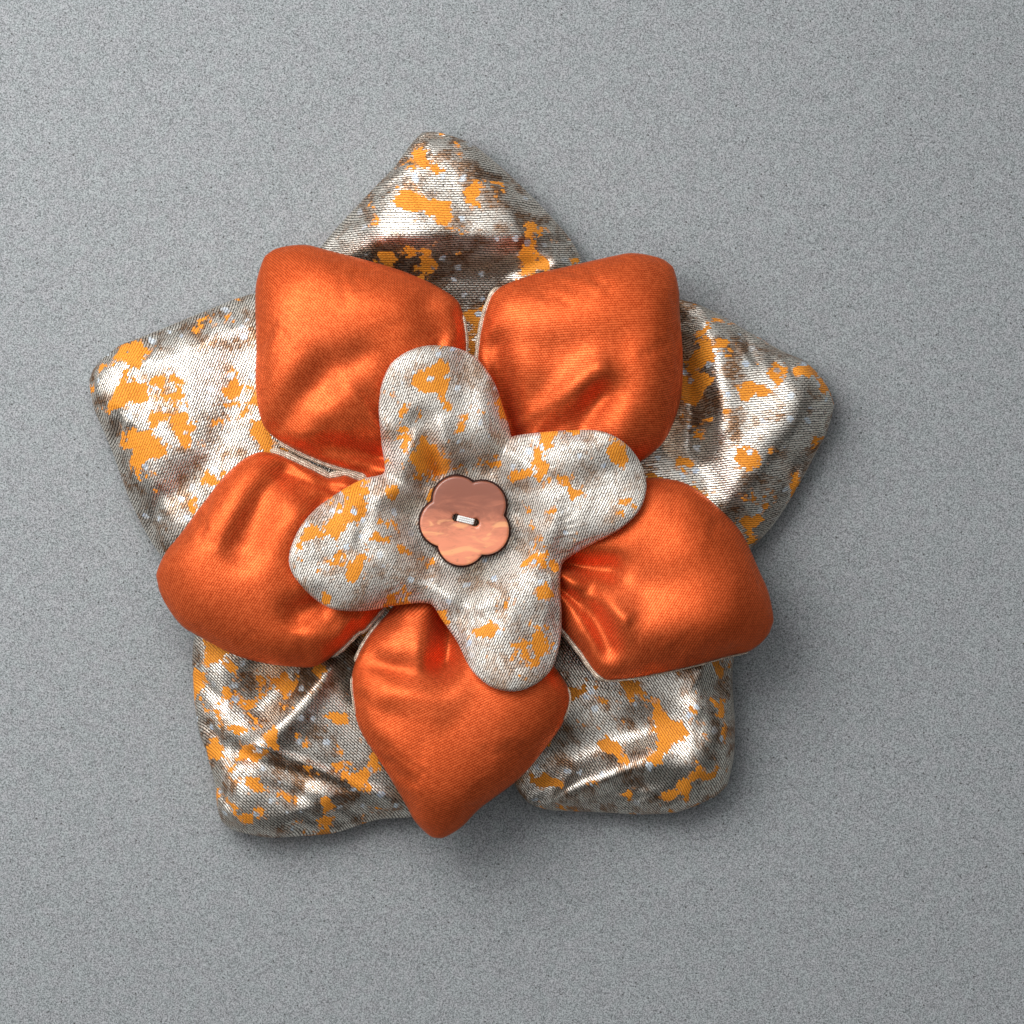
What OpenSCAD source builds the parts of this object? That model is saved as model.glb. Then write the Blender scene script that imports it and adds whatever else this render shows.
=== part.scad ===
// A padded flower brooch that lies on its back: five brocade petals, five satin petals
// on them, a four-lobed brocade flower on top, and a two-hole button that draws it down.
// Lengths are millimetres. Plan places are measured from the middle of the button.

/* [Flower] */
// Spread of the flower in plan, where 1 is 129 mm wide
spread = 1; // [0.98:0.01:1.04]
// Height of the padding above its seams, where 1 is the drawn height
puff = 1; // [0.85:0.05:1.05]
// Gap in plan between neighbouring petals of one ring
petal_gap = 0.6; // [0.5:0.1:1]
// Gap between a padded piece and what it lies on
layer_gap = 0.5; // [0.45:0.05:0.6]
// How far a padded piece sinks between the petals under it
sag = 1.8; // [1:0.1:2.4]

/* [Button] */
// Distance from the middle of the button to the tip of a lobe
button_reach = 8.3; // [7:0.1:8.4]
// Radius of one lobe of the button
lobe_radius = 4.5; // [4:0.1:4.8]
// Whole thickness of the button
button_thickness = 2; // [1.6:0.1:2.4]
// Diameter of a thread hole
hole_width = 1.3; // [1.2:0.05:1.5]
// Distance between the middles of the thread holes
hole_spacing = 3.4; // [3:0.1:3.8]
// Diameter of the stitch through the holes
thread_width = 1.1; // [0.8:0.05:1.1]

/* [Pin back] */
// Length of the bar
bar_length = 38; // [30:1:40]
// Width of the bar
bar_width = 5; // [4:0.5:6]
// Thickness of the bar's plate
bar_thickness = 0.8; // [0.6:0.1:1]
// Diameter of the pin's stem
stem_width = 1; // [0.8:0.1:1.2]

/* [Hidden] */
brocade = [0.74, 0.62, 0.48];
satin = [0.85, 0.36, 0.18];
shell = [0.78, 0.45, 0.33];

// Room under the middle for the pin back
pin_room = 6.4;

// Number of steps along a petal, across it, round the top flower and out from its middle
steps_along = 17;
steps_across = 12;
steps_round = 60;
steps_out = 7;

// Distance from the middle at which the gathered inner end of a petal closes
inner_end = 2.5;
// Distance over which the padding rises from the inner end, and from the tip
inner_rise = 2.5;
tip_rise = 9;
// Radius of a petal's rounded tip
tip_radius = 3.5;
// How square the padding is across a petal: 2 is an ellipse
fullness = 2.4;
// How far a petal's sections crowd towards its tip, where 1 spaces them evenly
tip_crowding = 1.5;
// Share of its rounding that a tip reaches before it is cut straight
tip_cut = 0.97;
// How flat an underside is, where 1 is as round as the top
flatness = 1.15;
// Width over which two heights run into each other, and where it no longer shows
blend = 0.6;
blend_end = 12;

// Directions of the petals' tips, anticlockwise from the right
base_axes = [96, 159, 232, 314, 378];
satin_axes = [126.6, 191, 264.8, 341, 411.4];

// Sections of each base petal: distance from the middle, half width on the left, on the right
base_sections = [
  [[36, 21.4, 24.0], [42, 23.4, 24.8], [46.5, 22.6, 23.2], [51, 19.0, 20.2],
   [57.5, 11.8, 15.0], [63, 5.4, 10.0], [67.8, 1.8, 4.8]],
  [[36, 24.0, 21.4], [42, 26.0, 24.8], [46, 25.4, 24.9], [50, 22.9, 22.5],
   [56, 17.5, 17.1], [62, 10.6, 11.4], [69.9, 2.6, 4.4]],
  [[36, 25.5, 23.5], [42, 26.6, 25.6], [46, 24.8, 24.2], [50.5, 20.0, 20.8],
   [57, 15.4, 14.6], [61, 11.2, 8.8], [64, 7.8, 5.2], [67.5, 3.6, 3.2]],
  [[36, 21.5, 25.0], [42, 23.2, 26.4], [46, 20.6, 24.8], [52, 14.2, 19.2],
   [58, 9.0, 13.6], [62, 5.0, 9.1], [64.8, 2.0, 5.4]],
  [[36, 24.5, 20.6], [42, 26.6, 21.4], [46, 25.6, 19.8], [51, 22.3, 17.0],
   [57, 15.8, 12.0], [62, 10.4, 7.2], [67.1, 6.4, 2.4]]
];

// Sections of each satin petal, with the same columns
satin_sections = [
  [[17, 9.4, 13.0], [23, 13.9, 17.6], [30.5, 17.8, 21.4], [34.5, 18.3, 20.6],
   [40.5, 15.3, 17.4], [46, 11.1, 13.4], [52, 6.9, 8.6], [57.6, 2.4, 4.2]],
  [[22, 15.5, 11.6], [26, 18.1, 14.7], [30.5, 19.9, 17.7], [34, 19.3, 18.3],
   [39, 17.7, 15.9], [44, 15.2, 11.7], [50, 10.4, 6.3], [54.6, 6.4, 3.0]],
  [[16, 12.0, 11.1], [22, 16.0, 15.2], [28, 20.6, 17.2], [33, 20.1, 16.6],
   [38, 17.4, 14.9], [44, 13.1, 10.3], [50, 6.6, 6.0], [55.4, 2.8, 2.6]],
  [[20, 13.0, 11.3], [26, 16.6, 15.2], [31, 18.2, 18.3], [35, 18.3, 17.2],
   [40, 16.6, 14.5], [46, 13.4, 10.8], [52, 7.2, 6.8], [56.2, 3.0, 4.8]],
  [[20, 13.8, 13.0], [26, 17.8, 17.0], [31, 20.2, 18.3], [34.5, 20.8, 17.9],
   [40, 17.8, 15.8], [46, 13.2, 11.4], [52, 8.4, 5.9], [56.8, 4.4, 2.2]]
];

// Outline of the top flower, notch by notch: direction, distance from the middle
top_outline = [
  [61.5, 16.4], [71, 20.3], [79, 24.7], [88, 28.7], [102, 30.9],
  [114, 30.3], [121, 28], [127, 25], [136, 20.4],
  [149.7, 16.4], [158, 19.1], [168, 22.7], [178, 27], [186, 29.8], [194, 31.5],
  [203, 30.4], [213, 28], [221, 24], [231, 19],
  [246.5, 15.8], [257, 17.9], [266, 21.2], [272.5, 26.2], [280, 29.6], [289, 31],
  [299, 30], [306, 27.4], [314, 23.9], [323, 20.5],
  [335, 18.4], [343, 19.8], [350, 22.7], [357, 27], [364, 30.4], [373, 32],
  [384, 31], [393, 28.2], [401, 23.7], [410, 19.8], [421.5, 16.4]
];

// Heights by distance from the middle: distance, level that it lies on, seam above it, crown above the seam
base_levels = [
  [0, pin_room, 1.4, 1.6], [20, pin_room, 1.6, 1.8], [28, 3.4, 3.2, 3.4],
  [36, 0, 4.0, 6.0], [50, 0, 3.8, 6.2], [70, 0, 3.4, 5.2]
];
satin_levels = [
  [0, 11.8, 1.4, 1.6], [14, 11.8, 1.8, 2.6], [22, 11.4, 2.8, 5.4],
  [30, 11.2, 3.8, 7.6], [40, 11.2, 4.2, 8.2], [50, 10.6, 3.8, 7.4], [60, 8.8, 3.2, 5.0]
];
top_levels = [
  [0, 16.0, 1.2, 0.9], [9.2, 16.0, 1.1, 1.0], [14, 17.1, 1.6, 3.0],
  [20, 18.2, 1.8, 4.4], [32, 20.4, 1.8, 4.2]
];

// Folds: number of the petal, one end, other end, height of the ridge or depth of the dent, half width
base_folds = [
  [0, -20.5, 45.0, 13.0, 45.5, -3.0, 4.0], [0, -12.0, 53.5, 6.0, 53.5, 0.8, 4.5],
  [1, -56.5, 25.0, -55.0, 23.0, -1.0, 4.0], [1, -40.5, 27.5, -39.0, 24.0, -1.2, 4.0],
  [1, -53.0, 2.0, -50.0, 6.0, -1.0, 4.0],
  [2, -25.0, -26.5, -34.5, -38.0, 1.5, 2.5], [2, -28.0, -26.5, -35.0, -33.0, -2.0, 2.5],
  [2, -41.5, -39.5, -29.0, -46.5, -1.8, 2.5],
  [3, 18.0, -47.0, 33.5, -40.0, 1.5, 2.5], [3, 25.0, -37.5, 31.0, -37.5, -2.5, 3.0],
  [3, 39.5, -32.5, 39.0, -42.5, 1.2, 2.5],
  [4, 37.5, 34.0, 40.5, 19.0, -3.0, 3.0], [4, 41.0, 31.5, 44.0, 16.0, 1.5, 2.5]
];
satin_folds = [
  [0, -6.5, 37.0, -6.0, 32.5, -1.5, 3.0], [0, -32.5, 16.5, -24.0, 25.5, -1.5, 3.5],
  [0, -22.0, 25.5, -15.0, 16.0, 0.8, 2.5], [0, -23.5, 13.0, -16.0, 11.0, -3.5, 3.0],
  [1, -34.0, 9.0, -38.0, -4.0, -1.5, 3.5], [1, -31.5, 8.5, -25.5, 3.0, -2.5, 2.2],
  [1, -29.0, -16.5, -25.5, -15.5, -2.2, 3.0],
  [2, -3.5, -18.0, -3.5, -24.0, -4.5, 3.0], [2, -6.5, -16.0, -7.5, -25.0, 1.8, 2.2],
  [2, -5.0, -26.0, -15.5, -25.0, -1.5, 2.5],
  [3, 16.5, -9.0, 27.0, -17.0, 1.5, 2.0], [3, 21.5, -12.5, 25.0, -22.0, -3.0, 2.2],
  [3, 17.0, -7.5, 25.0, -8.5, -2.5, 2.2],
  [4, 7.5, 15.0, 5.0, 30.0, -3.0, 2.6], [4, 10.0, 14.5, 23.0, 26.0, 1.5, 2.5],
  [4, 23.5, 21.5, 20.5, 17.0, -2.0, 2.5]
];
top_folds = [
  [0, -7.0, 16.0, -6.5, 11.0, -1.6, 2.2], [0, -5.0, 16.0, -2.0, 11.0, 0.8, 2.0],
  [0, -13.5, 1.0, -10.5, 1.0, -1.3, 2.4], [0, 1.5, -11.0, -1.0, -16.5, -1.4, 2.4],
  [0, 5.0, 10.5, 6.5, 13.0, -1.2, 2.2], [0, 11.0, -5.0, 15.0, -7.0, -1.0, 2.2]
];

// A ring of petals: its axes, sections, levels and folds
base_ring = [base_axes, base_sections, base_levels, base_folds];
satin_ring = [satin_axes, satin_sections, satin_levels, satin_folds];
// Height below every piece, for places that a ring doesn't cover
nothing = -100;

// A smooth curve through one column of a table whose first column rises
function slope(table, i, c) =
  let (before = table[max(i - 1, 0)], after = table[min(i + 1, len(table) - 1)])
  (after[c] - before[c]) / (after[0] - before[0]);
function row_before(table, x, i = 0) =
  i >= len(table) - 2 || x < table[i + 1][0] ? i : row_before(table, x, i + 1);
function smooth(table, x, c) =
  let (i = row_before(table, x), p = table[i], q = table[i + 1], h = q[0] - p[0])
  let (t = min(max((x - p[0]) / h, 0), 1), t2 = t * t, t3 = t2 * t)
  (2 * t3 - 3 * t2 + 1) * p[c] + (3 * t2 - 2 * t3) * q[c]
  + ((t3 - 2 * t2 + t) * slope(table, i, c) + (t3 - t2) * slope(table, i + 1, c)) * h;

// The greater of two heights, with a soft change from one to the other
function soft_max(a, b) =
  let (d = abs(a - b) / blend)
  max(a, b) + (d > blend_end ? 0 : blend * ln(1 + exp(-d)));

// Distance from a point to the line between two points
function line_distance(p, a, b) =
  let (along = b - a, t = min(max((p - a) * along / (along * along), 0), 1))
  norm(p - a - t * along);

// Height that the folds of one piece add at a point
function total(values) = len(values) == 0 ? 0 : values * [for (v = values) 1];
function fold_height(folds, i, p) =
  total([for (f = folds) if (f[0] == i)
    f[5] * exp(-pow(line_distance(p / spread, [f[1], f[2]], [f[3], f[4]]) / f[6], 2))]);

// Half the angle between a petal's axis and its neighbour's, on the left (1) or right (-1)
function share_angle(axes, i, side) =
  let (n = len(axes), turn = side * (axes[(i + side + n) % n] - axes[i]))
  ((turn % 360 + 360) % 360) / 2;

// Sections stand closer together towards the tip
function along_at(reach, share) = inner_end + (reach - inner_end) * (1 - pow(1 - share, tip_crowding));

function reach_of(ring, i) = spread * ring[1][i][len(ring[1][i]) - 1][0];

// How much of its width a petal keeps near the rounded tip
function tip_share(reach, along) =
  sqrt(1 - pow(tip_cut * max(along - reach + tip_radius, 0) / tip_radius, 2));

// Half width of a petal, kept clear of the line that it shares with its neighbour
function half_width(ring, i, along, side) =
  let (angle = share_angle(ring[0], i, side), shared = along * tan(angle) - petal_gap / 2 / cos(angle))
  let (cut = spread * smooth(ring[1][i], along / spread, side > 0 ? 1 : 2))
  min(cut * tip_share(reach_of(ring, i), along), shared);

// Place of a plan point along and across a petal, and back
function to_petal(axis, p) = [p.x * cos(axis) + p.y * sin(axis), p.y * cos(axis) - p.x * sin(axis)];
function to_plan(axis, along, across) =
  [along * cos(axis) - across * sin(axis), along * sin(axis) + across * cos(axis)];

// Share of its full puff that a petal has: none at the seam and outside it
function rounded(share) = sqrt(1 - pow(1 - min(max(share, 0), 1), 2));
function petal_crown(ring, i, p) =
  let (q = to_petal(ring[0][i], p), reach = reach_of(ring, i))
  q.x <= inner_end || q.x >= reach ? 0
  : let (across = abs(q.y) / half_width(ring, i, q.x, q.y < 0 ? -1 : 1))
    across >= 1 ? 0
    : sqrt(1 - pow(across, fullness))
      * rounded((q.x - inner_end) / inner_rise) * rounded((reach - q.x) / tip_rise);

// Heights of a ring's padding at a point: lowest underside, seam and top
function ring_under(ring, p) =
  let (level = smooth(ring[2], norm(p) / spread, 1))
  ring == base_ring ? max(level, 0) : soft_max(ring_top(base_ring, p) + layer_gap, level - sag);
function seam_height(ring, p) = ring_under(ring, p) + smooth(ring[2], norm(p) / spread, 2);
function petal_top(ring, i, p, crown) =
  seam_height(ring, p) + crown * (puff * smooth(ring[2], norm(p) / spread, 3) + fold_height(ring[3], i, p));
function petal_bottom(ring, p, crown) =
  seam_height(ring, p) - smooth(ring[2], norm(p) / spread, 2) * min(flatness * crown, 1);
function ring_top(ring, p) =
  max([for (i = [0 : len(ring[0]) - 1])
    let (crown = petal_crown(ring, i, p))
    crown > 0 ? petal_top(ring, i, p, crown) : nothing]);

// Where the middle of the button lies from the middle of the whole outline
outline = [for (ring = [base_ring, satin_ring], i = [0 : 4], s = [0 : steps_along], side = [-1, 1])
  let (along = along_at(reach_of(ring, i), s / steps_along))
  to_plan(ring[0][i], along, side * half_width(ring, i, along, side))];
middle = -[
  max([for (p = outline) p.x]) + min([for (p = outline) p.x]),
  max([for (p = outline) p.y]) + min([for (p = outline) p.y])
] / 2;

// Two triangles for one four-sided face, clockwise from outside, cut along either diagonal
function two_triangles(a, b, c, d, first) = first ? [[a, b, c], [a, c, d]] : [[a, b, d], [b, c, d]];

// A petal as a closed pillow: its top and underside share the points of the seam
module petal(ring, i) {
  axis = ring[0][i];
  reach = reach_of(ring, i);
  n = steps_along;
  m = steps_across;
  places = [for (s = [0 : n], j = [0 : m])
    let (along = along_at(reach, s / n), v = -cos(180 * j / m))
    to_plan(axis, along, v * half_width(ring, i, along, v < 0 ? -1 : 1))];
  seam = [for (s = [0 : n], j = [0 : m]) s == 0 || s == n || j == 0 || j == m];
  top = [for (k = [0 : len(places) - 1])
    let (p = places[k])
    [p.x, p.y, seam[k] ? seam_height(ring, p) : petal_top(ring, i, p, petal_crown(ring, i, p))]];
  bottom = [for (k = [0 : len(places) - 1]) if (!seam[k])
    let (p = places[k])
    [p.x, p.y, petal_bottom(ring, p, petal_crown(ring, i, p))]];
  function above(s, j) = s * (m + 1) + j;
  function below(s, j) =
    s == 0 || s == n || j == 0 || j == m ? above(s, j) : (n + 1) * (m + 1) + (s - 1) * (m - 1) + j - 1;
  faces = [for (s = [0 : n - 1], j = [0 : m - 1])
    let (corner = (s < n / 2) == (j < m / 2))
    each concat(
      two_triangles(above(s, j), above(s, j + 1), above(s + 1, j + 1), above(s + 1, j), corner),
      two_triangles(below(s + 1, j), below(s + 1, j + 1), below(s, j + 1), below(s, j), !corner))];
  place() polyhedron(concat(top, bottom), faces);
}

// The top flower's outline, and the heights of its padding
function top_reach(angle) =
  spread * smooth(top_outline, angle < top_outline[0][0] ? angle + 360 : angle, 1);
function top_level(p, c) = smooth(top_levels, norm(p) / spread, c);
function top_under(p) = soft_max(ring_top(satin_ring, p) + layer_gap, top_level(p, 1) - sag);
function top_crown(share) = sqrt(1 - pow(share, fullness));
function top_point(angle, share, above) =
  let (p = share * top_reach(angle) * [cos(angle), sin(angle)], crown = top_crown(share))
  let (lift = top_level(p, 2), rise = puff * top_level(p, 3))
  [p.x, p.y, top_under(p) + lift + crown * (above ? rise + fold_height(top_folds, 0, p) : -lift)];

// The four-lobed top flower, as rings of points round its middle
module top_flower() {
  n = steps_round;
  m = steps_out;
  angles = [for (k = [0 : n - 1]) 360 * k / n];
  shares = [for (j = [1 : m]) sin(90 * j / m)];
  top = concat([top_point(0, 0, true)], [for (share = shares, a = angles) top_point(a, share, true)]);
  bottom = concat([top_point(0, 0, false)],
    [for (j = [0 : m - 2], a = angles) top_point(a, shares[j], false)]);
  function above(j, k) = 1 + j * n + k % n;
  function below(j, k) = j == m - 1 ? above(j, k) : len(top) + 1 + j * n + k % n;
  fans = [for (k = [0 : n - 1])
    each [[0, above(0, k + 1), above(0, k)], [len(top), below(0, k), below(0, k + 1)]]];
  rings = [for (j = [0 : m - 2], k = [0 : n - 1])
    each concat(
      two_triangles(above(j, k), above(j, k + 1), above(j + 1, k + 1), above(j + 1, k), true),
      two_triangles(below(j + 1, k), below(j + 1, k + 1), below(j, k + 1), below(j, k), false))];
  color(brocade) place() polyhedron(concat(top, bottom), concat(fans, rings));
}

module base_petal(i) {
  color(brocade) petal(base_ring, i);
}

module satin_petal(i) {
  color(satin) petal(satin_ring, i);
}

// Puts what is drawn round the middle of the button where the flower has it
module place() {
  translate([middle.x, middle.y, 0]) children();
}

// Height of the button's underside. It is higher by what the padding sinks less than usual.
usual_seat = 17.4;
usual_sag = 1.8;
button_seat = usual_seat + max(usual_sag - sag, 0);
// Direction of the button's first lobe, and number of lobes
button_turn = 43;
button_lobes = 5;
// Share of the thickness that is the darker back, and how far the face stands inside it
back_share = 0.45;
face_inset = 0.35;
// Direction of the line through the two holes
hole_turn = -14;
// Gap between the stitch and the face
stitch_gap = 0.1;

module button_outline(inset) {
  for (k = [0 : button_lobes - 1]) {
    rotate(button_turn + 360 * k / button_lobes)
      translate([button_reach - lobe_radius, 0])
        circle(lobe_radius - inset, $fn = 64);
  }
}

// What stands at the two holes
module at_holes() {
  for (side = [-1, 1]) {
    rotate(hole_turn) translate([side * hole_spacing / 2, 0]) children();
  }
}

// Button: a five-lobed shell with a darker back that shows all round the face
module button() {
  color(shell) place() translate([0, 0, button_seat]) difference() {
    union() {
      linear_extrude(back_share * button_thickness) button_outline(0);
      linear_extrude(button_thickness) button_outline(face_inset);
    }
    at_holes() translate([0, 0, -1]) cylinder(h = button_thickness + 2, d = hole_width, $fn = 32);
  }
}

// Stitch: up through one hole, across the face and down through the other
module button_thread() {
  rise = button_thickness + thread_width / 2 + stitch_gap;
  color("ivory") place() translate([0, 0, button_seat]) union() {
    at_holes() cylinder(h = rise, d = thread_width, $fn = 32);
    at_holes() translate([0, 0, rise]) sphere(d = thread_width, $fn = 32);
    rotate(hole_turn) translate([-hole_spacing / 2, 0, rise])
      rotate([0, 90, 0]) cylinder(h = hole_spacing, d = thread_width, $fn = 32);
  }
}

// Height of the bar's upper face, against the petals, and of the stem's middle
bar_top = pin_room - 0.3;
stem_height = 2.1;
// Width and diameter of the knuckle, and length and diameter of the catch
knuckle_width = 3.2;
knuckle_diameter = 2.6;
catch_length = 3;
catch_diameter = 2.2;
// Thickness of the webs that carry them, and how far these run into the bar
web = 1;
overrun = 0.1;

// A web that stands under the bar, between two distances along it
module bar_web(from, to, width) {
  translate([from, -width / 2, stem_height])
    cube([to - from, width, bar_top - bar_thickness + overrun - stem_height]);
}

// Pin back: a bar under the middle, with its closed pin held by a knuckle and a catch
module pin_back() {
  end = (bar_length - bar_width) / 2;
  color("silver") place() union() {
    translate([-end, -bar_width / 2, bar_top - bar_thickness]) cube([2 * end, bar_width, bar_thickness]);
    for (side = [-1, 1]) {
      translate([side * end, 0, bar_top - bar_thickness])
        cylinder(h = bar_thickness, d = bar_width, $fn = 48);
    }
    translate([-end, knuckle_width / 2, stem_height])
      rotate([90, 0, 0]) cylinder(h = knuckle_width, d = knuckle_diameter, $fn = 32);
    bar_web(-end - knuckle_diameter / 2, -end + knuckle_diameter / 2, knuckle_width);
    translate([end - catch_length / 2, 0, stem_height])
      rotate([0, 90, 0]) cylinder(h = catch_length, d = catch_diameter, $fn = 32);
    bar_web(end - catch_length / 2, end + catch_length / 2, web);
    translate([-end, 0, stem_height]) rotate([0, 90, 0]) cylinder(h = 2 * end, d = stem_width, $fn = 32);
  }
}

for (i = [0 : len(base_axes) - 1]) {
  base_petal(i);
  satin_petal(i);
}
top_flower();
button();
button_thread();
pin_back();
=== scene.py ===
import math
from dataclasses import dataclass

import bmesh
import bpy
import numpy as np
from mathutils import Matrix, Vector


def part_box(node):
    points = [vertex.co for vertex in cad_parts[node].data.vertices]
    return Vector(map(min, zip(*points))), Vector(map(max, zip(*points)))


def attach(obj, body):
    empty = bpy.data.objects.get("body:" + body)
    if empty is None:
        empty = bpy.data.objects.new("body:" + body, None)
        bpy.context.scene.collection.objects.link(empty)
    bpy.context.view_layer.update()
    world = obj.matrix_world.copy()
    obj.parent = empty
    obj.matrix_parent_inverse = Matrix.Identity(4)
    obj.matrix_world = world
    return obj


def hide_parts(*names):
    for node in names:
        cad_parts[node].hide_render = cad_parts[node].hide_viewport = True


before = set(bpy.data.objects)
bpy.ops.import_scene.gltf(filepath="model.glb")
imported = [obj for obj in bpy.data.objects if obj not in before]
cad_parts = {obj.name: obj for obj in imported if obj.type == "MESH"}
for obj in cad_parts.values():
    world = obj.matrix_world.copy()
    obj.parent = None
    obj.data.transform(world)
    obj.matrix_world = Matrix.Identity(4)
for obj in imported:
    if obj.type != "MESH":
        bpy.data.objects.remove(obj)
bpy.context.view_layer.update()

# Lengths below are millimetres, measured in plan from the middle of the button.
# MM turns them into metres.
MM = 0.001
pin_low, pin_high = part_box("pin_back")
MIDDLE = np.array([(pin_low.x + pin_high.x) / 2, (pin_low.y + pin_high.y) / 2, 0.0]) / MM

# Room and gaps of the part
PIN_ROOM = 6.4
PETAL_GAP = 0.6
LAYER_GAP = 0.5
SAG = 1.8
INNER_END = 2.5
INNER_RISE = 2.5
TIP_RISE = 9.0
TIP_RADIUS = 3.5
TIP_CROWDING = 1.5
TIP_CUT = 0.97
FULLNESS = 2.4
FLATNESS = 1.15
LEAST_PUFF = 0.5
BLEND = 0.6
BLEND_END = 12.0
NOTHING = -100

# Directions of the petals' tips, anticlockwise from the right
BASE_AXES = [96, 159, 232, 314, 378]
SATIN_AXES = [126.6, 191, 264.8, 341, 411.4]
BASE_NAMES = ["top", "left", "lower_left", "lower_right", "right"]
SATIN_NAMES = ["upper_left", "left", "bottom", "right", "upper_right"]

# Sections of each petal: distance from the middle, half width on the left, on the right
BASE_SECTIONS = [
    [[36, 21.4, 24], [42, 23.4, 24.8], [46.5, 22.6, 23.2], [51, 19, 20.2],
     [57.5, 11.8, 15], [63, 5.4, 10], [67.8, 1.8, 4.8]],
    [[36, 24, 21.4], [42, 26, 24.8], [46, 25.4, 24.9], [50, 22.9, 22.5],
     [56, 17.5, 17.1], [62, 10.6, 11.4], [69.9, 2.6, 4.4]],
    [[36, 25.5, 23.5], [42, 26.6, 25.6], [46, 24.8, 24.2], [50.5, 20, 20.8],
     [57, 15.4, 14.6], [61, 11.2, 8.8], [64, 7.8, 5.2], [67.5, 3.6, 3.2]],
    [[36, 21.5, 25], [42, 23.2, 26.4], [46, 20.6, 24.8], [52, 14.2, 19.2],
     [58, 9, 13.6], [62, 5, 9.1], [64.8, 2, 5.4]],
    [[36, 24.5, 20.6], [42, 26.6, 21.4], [46, 25.6, 19.8], [51, 22.3, 17],
     [57, 15.8, 12], [62, 10.4, 7.2], [67.1, 6.4, 2.4]],
]
SATIN_SECTIONS = [
    [[17, 9.4, 13], [23, 13.9, 17.6], [30.5, 17.8, 21.4], [34.5, 18.3, 20.6],
     [40.5, 15.3, 17.4], [46, 11.1, 13.4], [52, 6.9, 8.6], [57.6, 2.4, 4.2]],
    [[22, 15.5, 11.6], [26, 18.1, 14.7], [30.5, 19.9, 17.7], [34, 19.3, 18.3],
     [39, 17.7, 15.9], [44, 15.2, 11.7], [50, 10.4, 6.3], [54.6, 6.4, 3]],
    [[16, 12, 11.1], [22, 16, 15.2], [28, 20.6, 17.2], [33, 20.1, 16.6],
     [38, 17.4, 14.9], [44, 13.1, 10.3], [50, 6.6, 6], [55.4, 2.8, 2.6]],
    [[20, 13, 11.3], [26, 16.6, 15.2], [31, 18.2, 18.3], [35, 18.3, 17.2],
     [40, 16.6, 14.5], [46, 13.4, 10.8], [52, 7.2, 6.8], [56.2, 3, 4.8]],
    [[20, 13.8, 13], [26, 17.8, 17], [31, 20.2, 18.3], [34.5, 20.8, 17.9],
     [40, 17.8, 15.8], [46, 13.2, 11.4], [52, 8.4, 5.9], [56.8, 4.4, 2.2]],
]

# Outline of the top flower: direction, distance from the middle
TOP_OUTLINE = [
    [61.5, 16.4], [71, 20.3], [79, 24.7], [88, 28.7], [102, 30.9],
    [114, 30.3], [121, 28], [127, 25], [136, 20.4],
    [149.7, 16.4], [158, 19.1], [168, 22.7], [178, 27], [186, 29.8], [194, 31.5],
    [203, 30.4], [213, 28], [221, 24], [231, 19],
    [246.5, 15.8], [257, 17.9], [266, 21.2], [272.5, 26.2], [280, 29.6], [289, 31],
    [299, 30], [306, 27.4], [314, 23.9], [323, 20.5],
    [335, 18.4], [343, 19.8], [350, 22.7], [357, 27], [364, 30.4], [373, 32],
    [384, 31], [393, 28.2], [401, 23.7], [410, 19.8], [421.5, 16.4],
]

# Heights by distance from the middle: level that a layer lies on, seam above it, crown above the seam
BASE_LEVELS = [
    [0, PIN_ROOM, 1.4, 1.6], [20, PIN_ROOM, 1.6, 1.8], [28, 3.4, 3.2, 3.4],
    [36, 0, 4, 6], [50, 0, 3.8, 6.2], [70, 0, 3.4, 5.2],
]
SATIN_LEVELS = [
    [0, 11.8, 1.4, 1.6], [14, 11.8, 1.8, 2.6], [22, 11.4, 2.8, 5.4],
    [30, 11.2, 3.8, 7.6], [40, 11.2, 4.2, 8.2], [50, 10.6, 3.8, 7.4], [60, 8.8, 3.2, 5],
]
TOP_LEVELS = [
    [0, 16, 1.2, 0.9], [9.2, 16, 1.1, 1], [14, 17.1, 1.6, 3],
    [20, 18.2, 1.8, 4.4], [32, 20.4, 1.8, 4.2],
]

# Folds: number of the petal, height of the ridge or depth of the dent, half width, points along it.
# These are the folds that the part has.
BASE_FOLDS = [
    [0, -3, 4, (-20.5, 45), (13, 45.5)],
    [0, 0.8, 4.5, (-12, 53.5), (6, 53.5)],
    [1, -1, 4, (-56.5, 25), (-55, 23)],
    [1, -1.2, 4, (-40.5, 27.5), (-39, 24)],
    [1, -1, 4, (-53, 2), (-50, 6)],
    [2, 1.5, 2.5, (-25, -26.5), (-34.5, -38)],
    [2, -2, 2.5, (-28, -26.5), (-35, -33)],
    [2, -1.8, 2.5, (-41.5, -39.5), (-29, -46.5)],
    [3, 1.5, 2.5, (18, -47), (33.5, -40)],
    [3, -2.5, 3, (25, -37.5), (31, -37.5)],
    [3, 1.2, 2.5, (39.5, -32.5), (39, -42.5)],
    [4, -3, 3, (37.5, 34), (40.5, 19)],
    [4, 1.5, 2.5, (41, 31.5), (44, 16)],
]
SATIN_FOLDS = [
    [0, -1.5, 3, (-6.5, 37), (-6, 32.5)],
    [0, -1.5, 3.5, (-32.5, 16.5), (-24, 25.5)],
    [0, 0.8, 2.5, (-22, 25.5), (-15, 16)],
    [0, -3.5, 3, (-23.5, 13), (-16, 11)],
    [1, -1.5, 3.5, (-34, 9), (-38, -4)],
    [1, -2.5, 2.2, (-31.5, 8.5), (-25.5, 3)],
    [1, -2.2, 3, (-29, -16.5), (-25.5, -15.5)],
    [2, -4.5, 3, (-3.5, -18), (-3.5, -24)],
    [2, 1.8, 2.2, (-6.5, -16), (-7.5, -25)],
    [2, -1.5, 2.5, (-5, -26), (-15.5, -25)],
    [3, 1.5, 2, (16.5, -9), (27, -17)],
    [3, -3, 2.2, (21.5, -12.5), (25, -22)],
    [3, -2.5, 2.2, (17, -7.5), (25, -8.5)],
    [4, -3, 2.6, (7.5, 15), (5, 30)],
    [4, 1.5, 2.5, (10, 14.5), (23, 26)],
    [4, -2, 2.5, (23.5, 21.5), (20.5, 17)],
]
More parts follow.
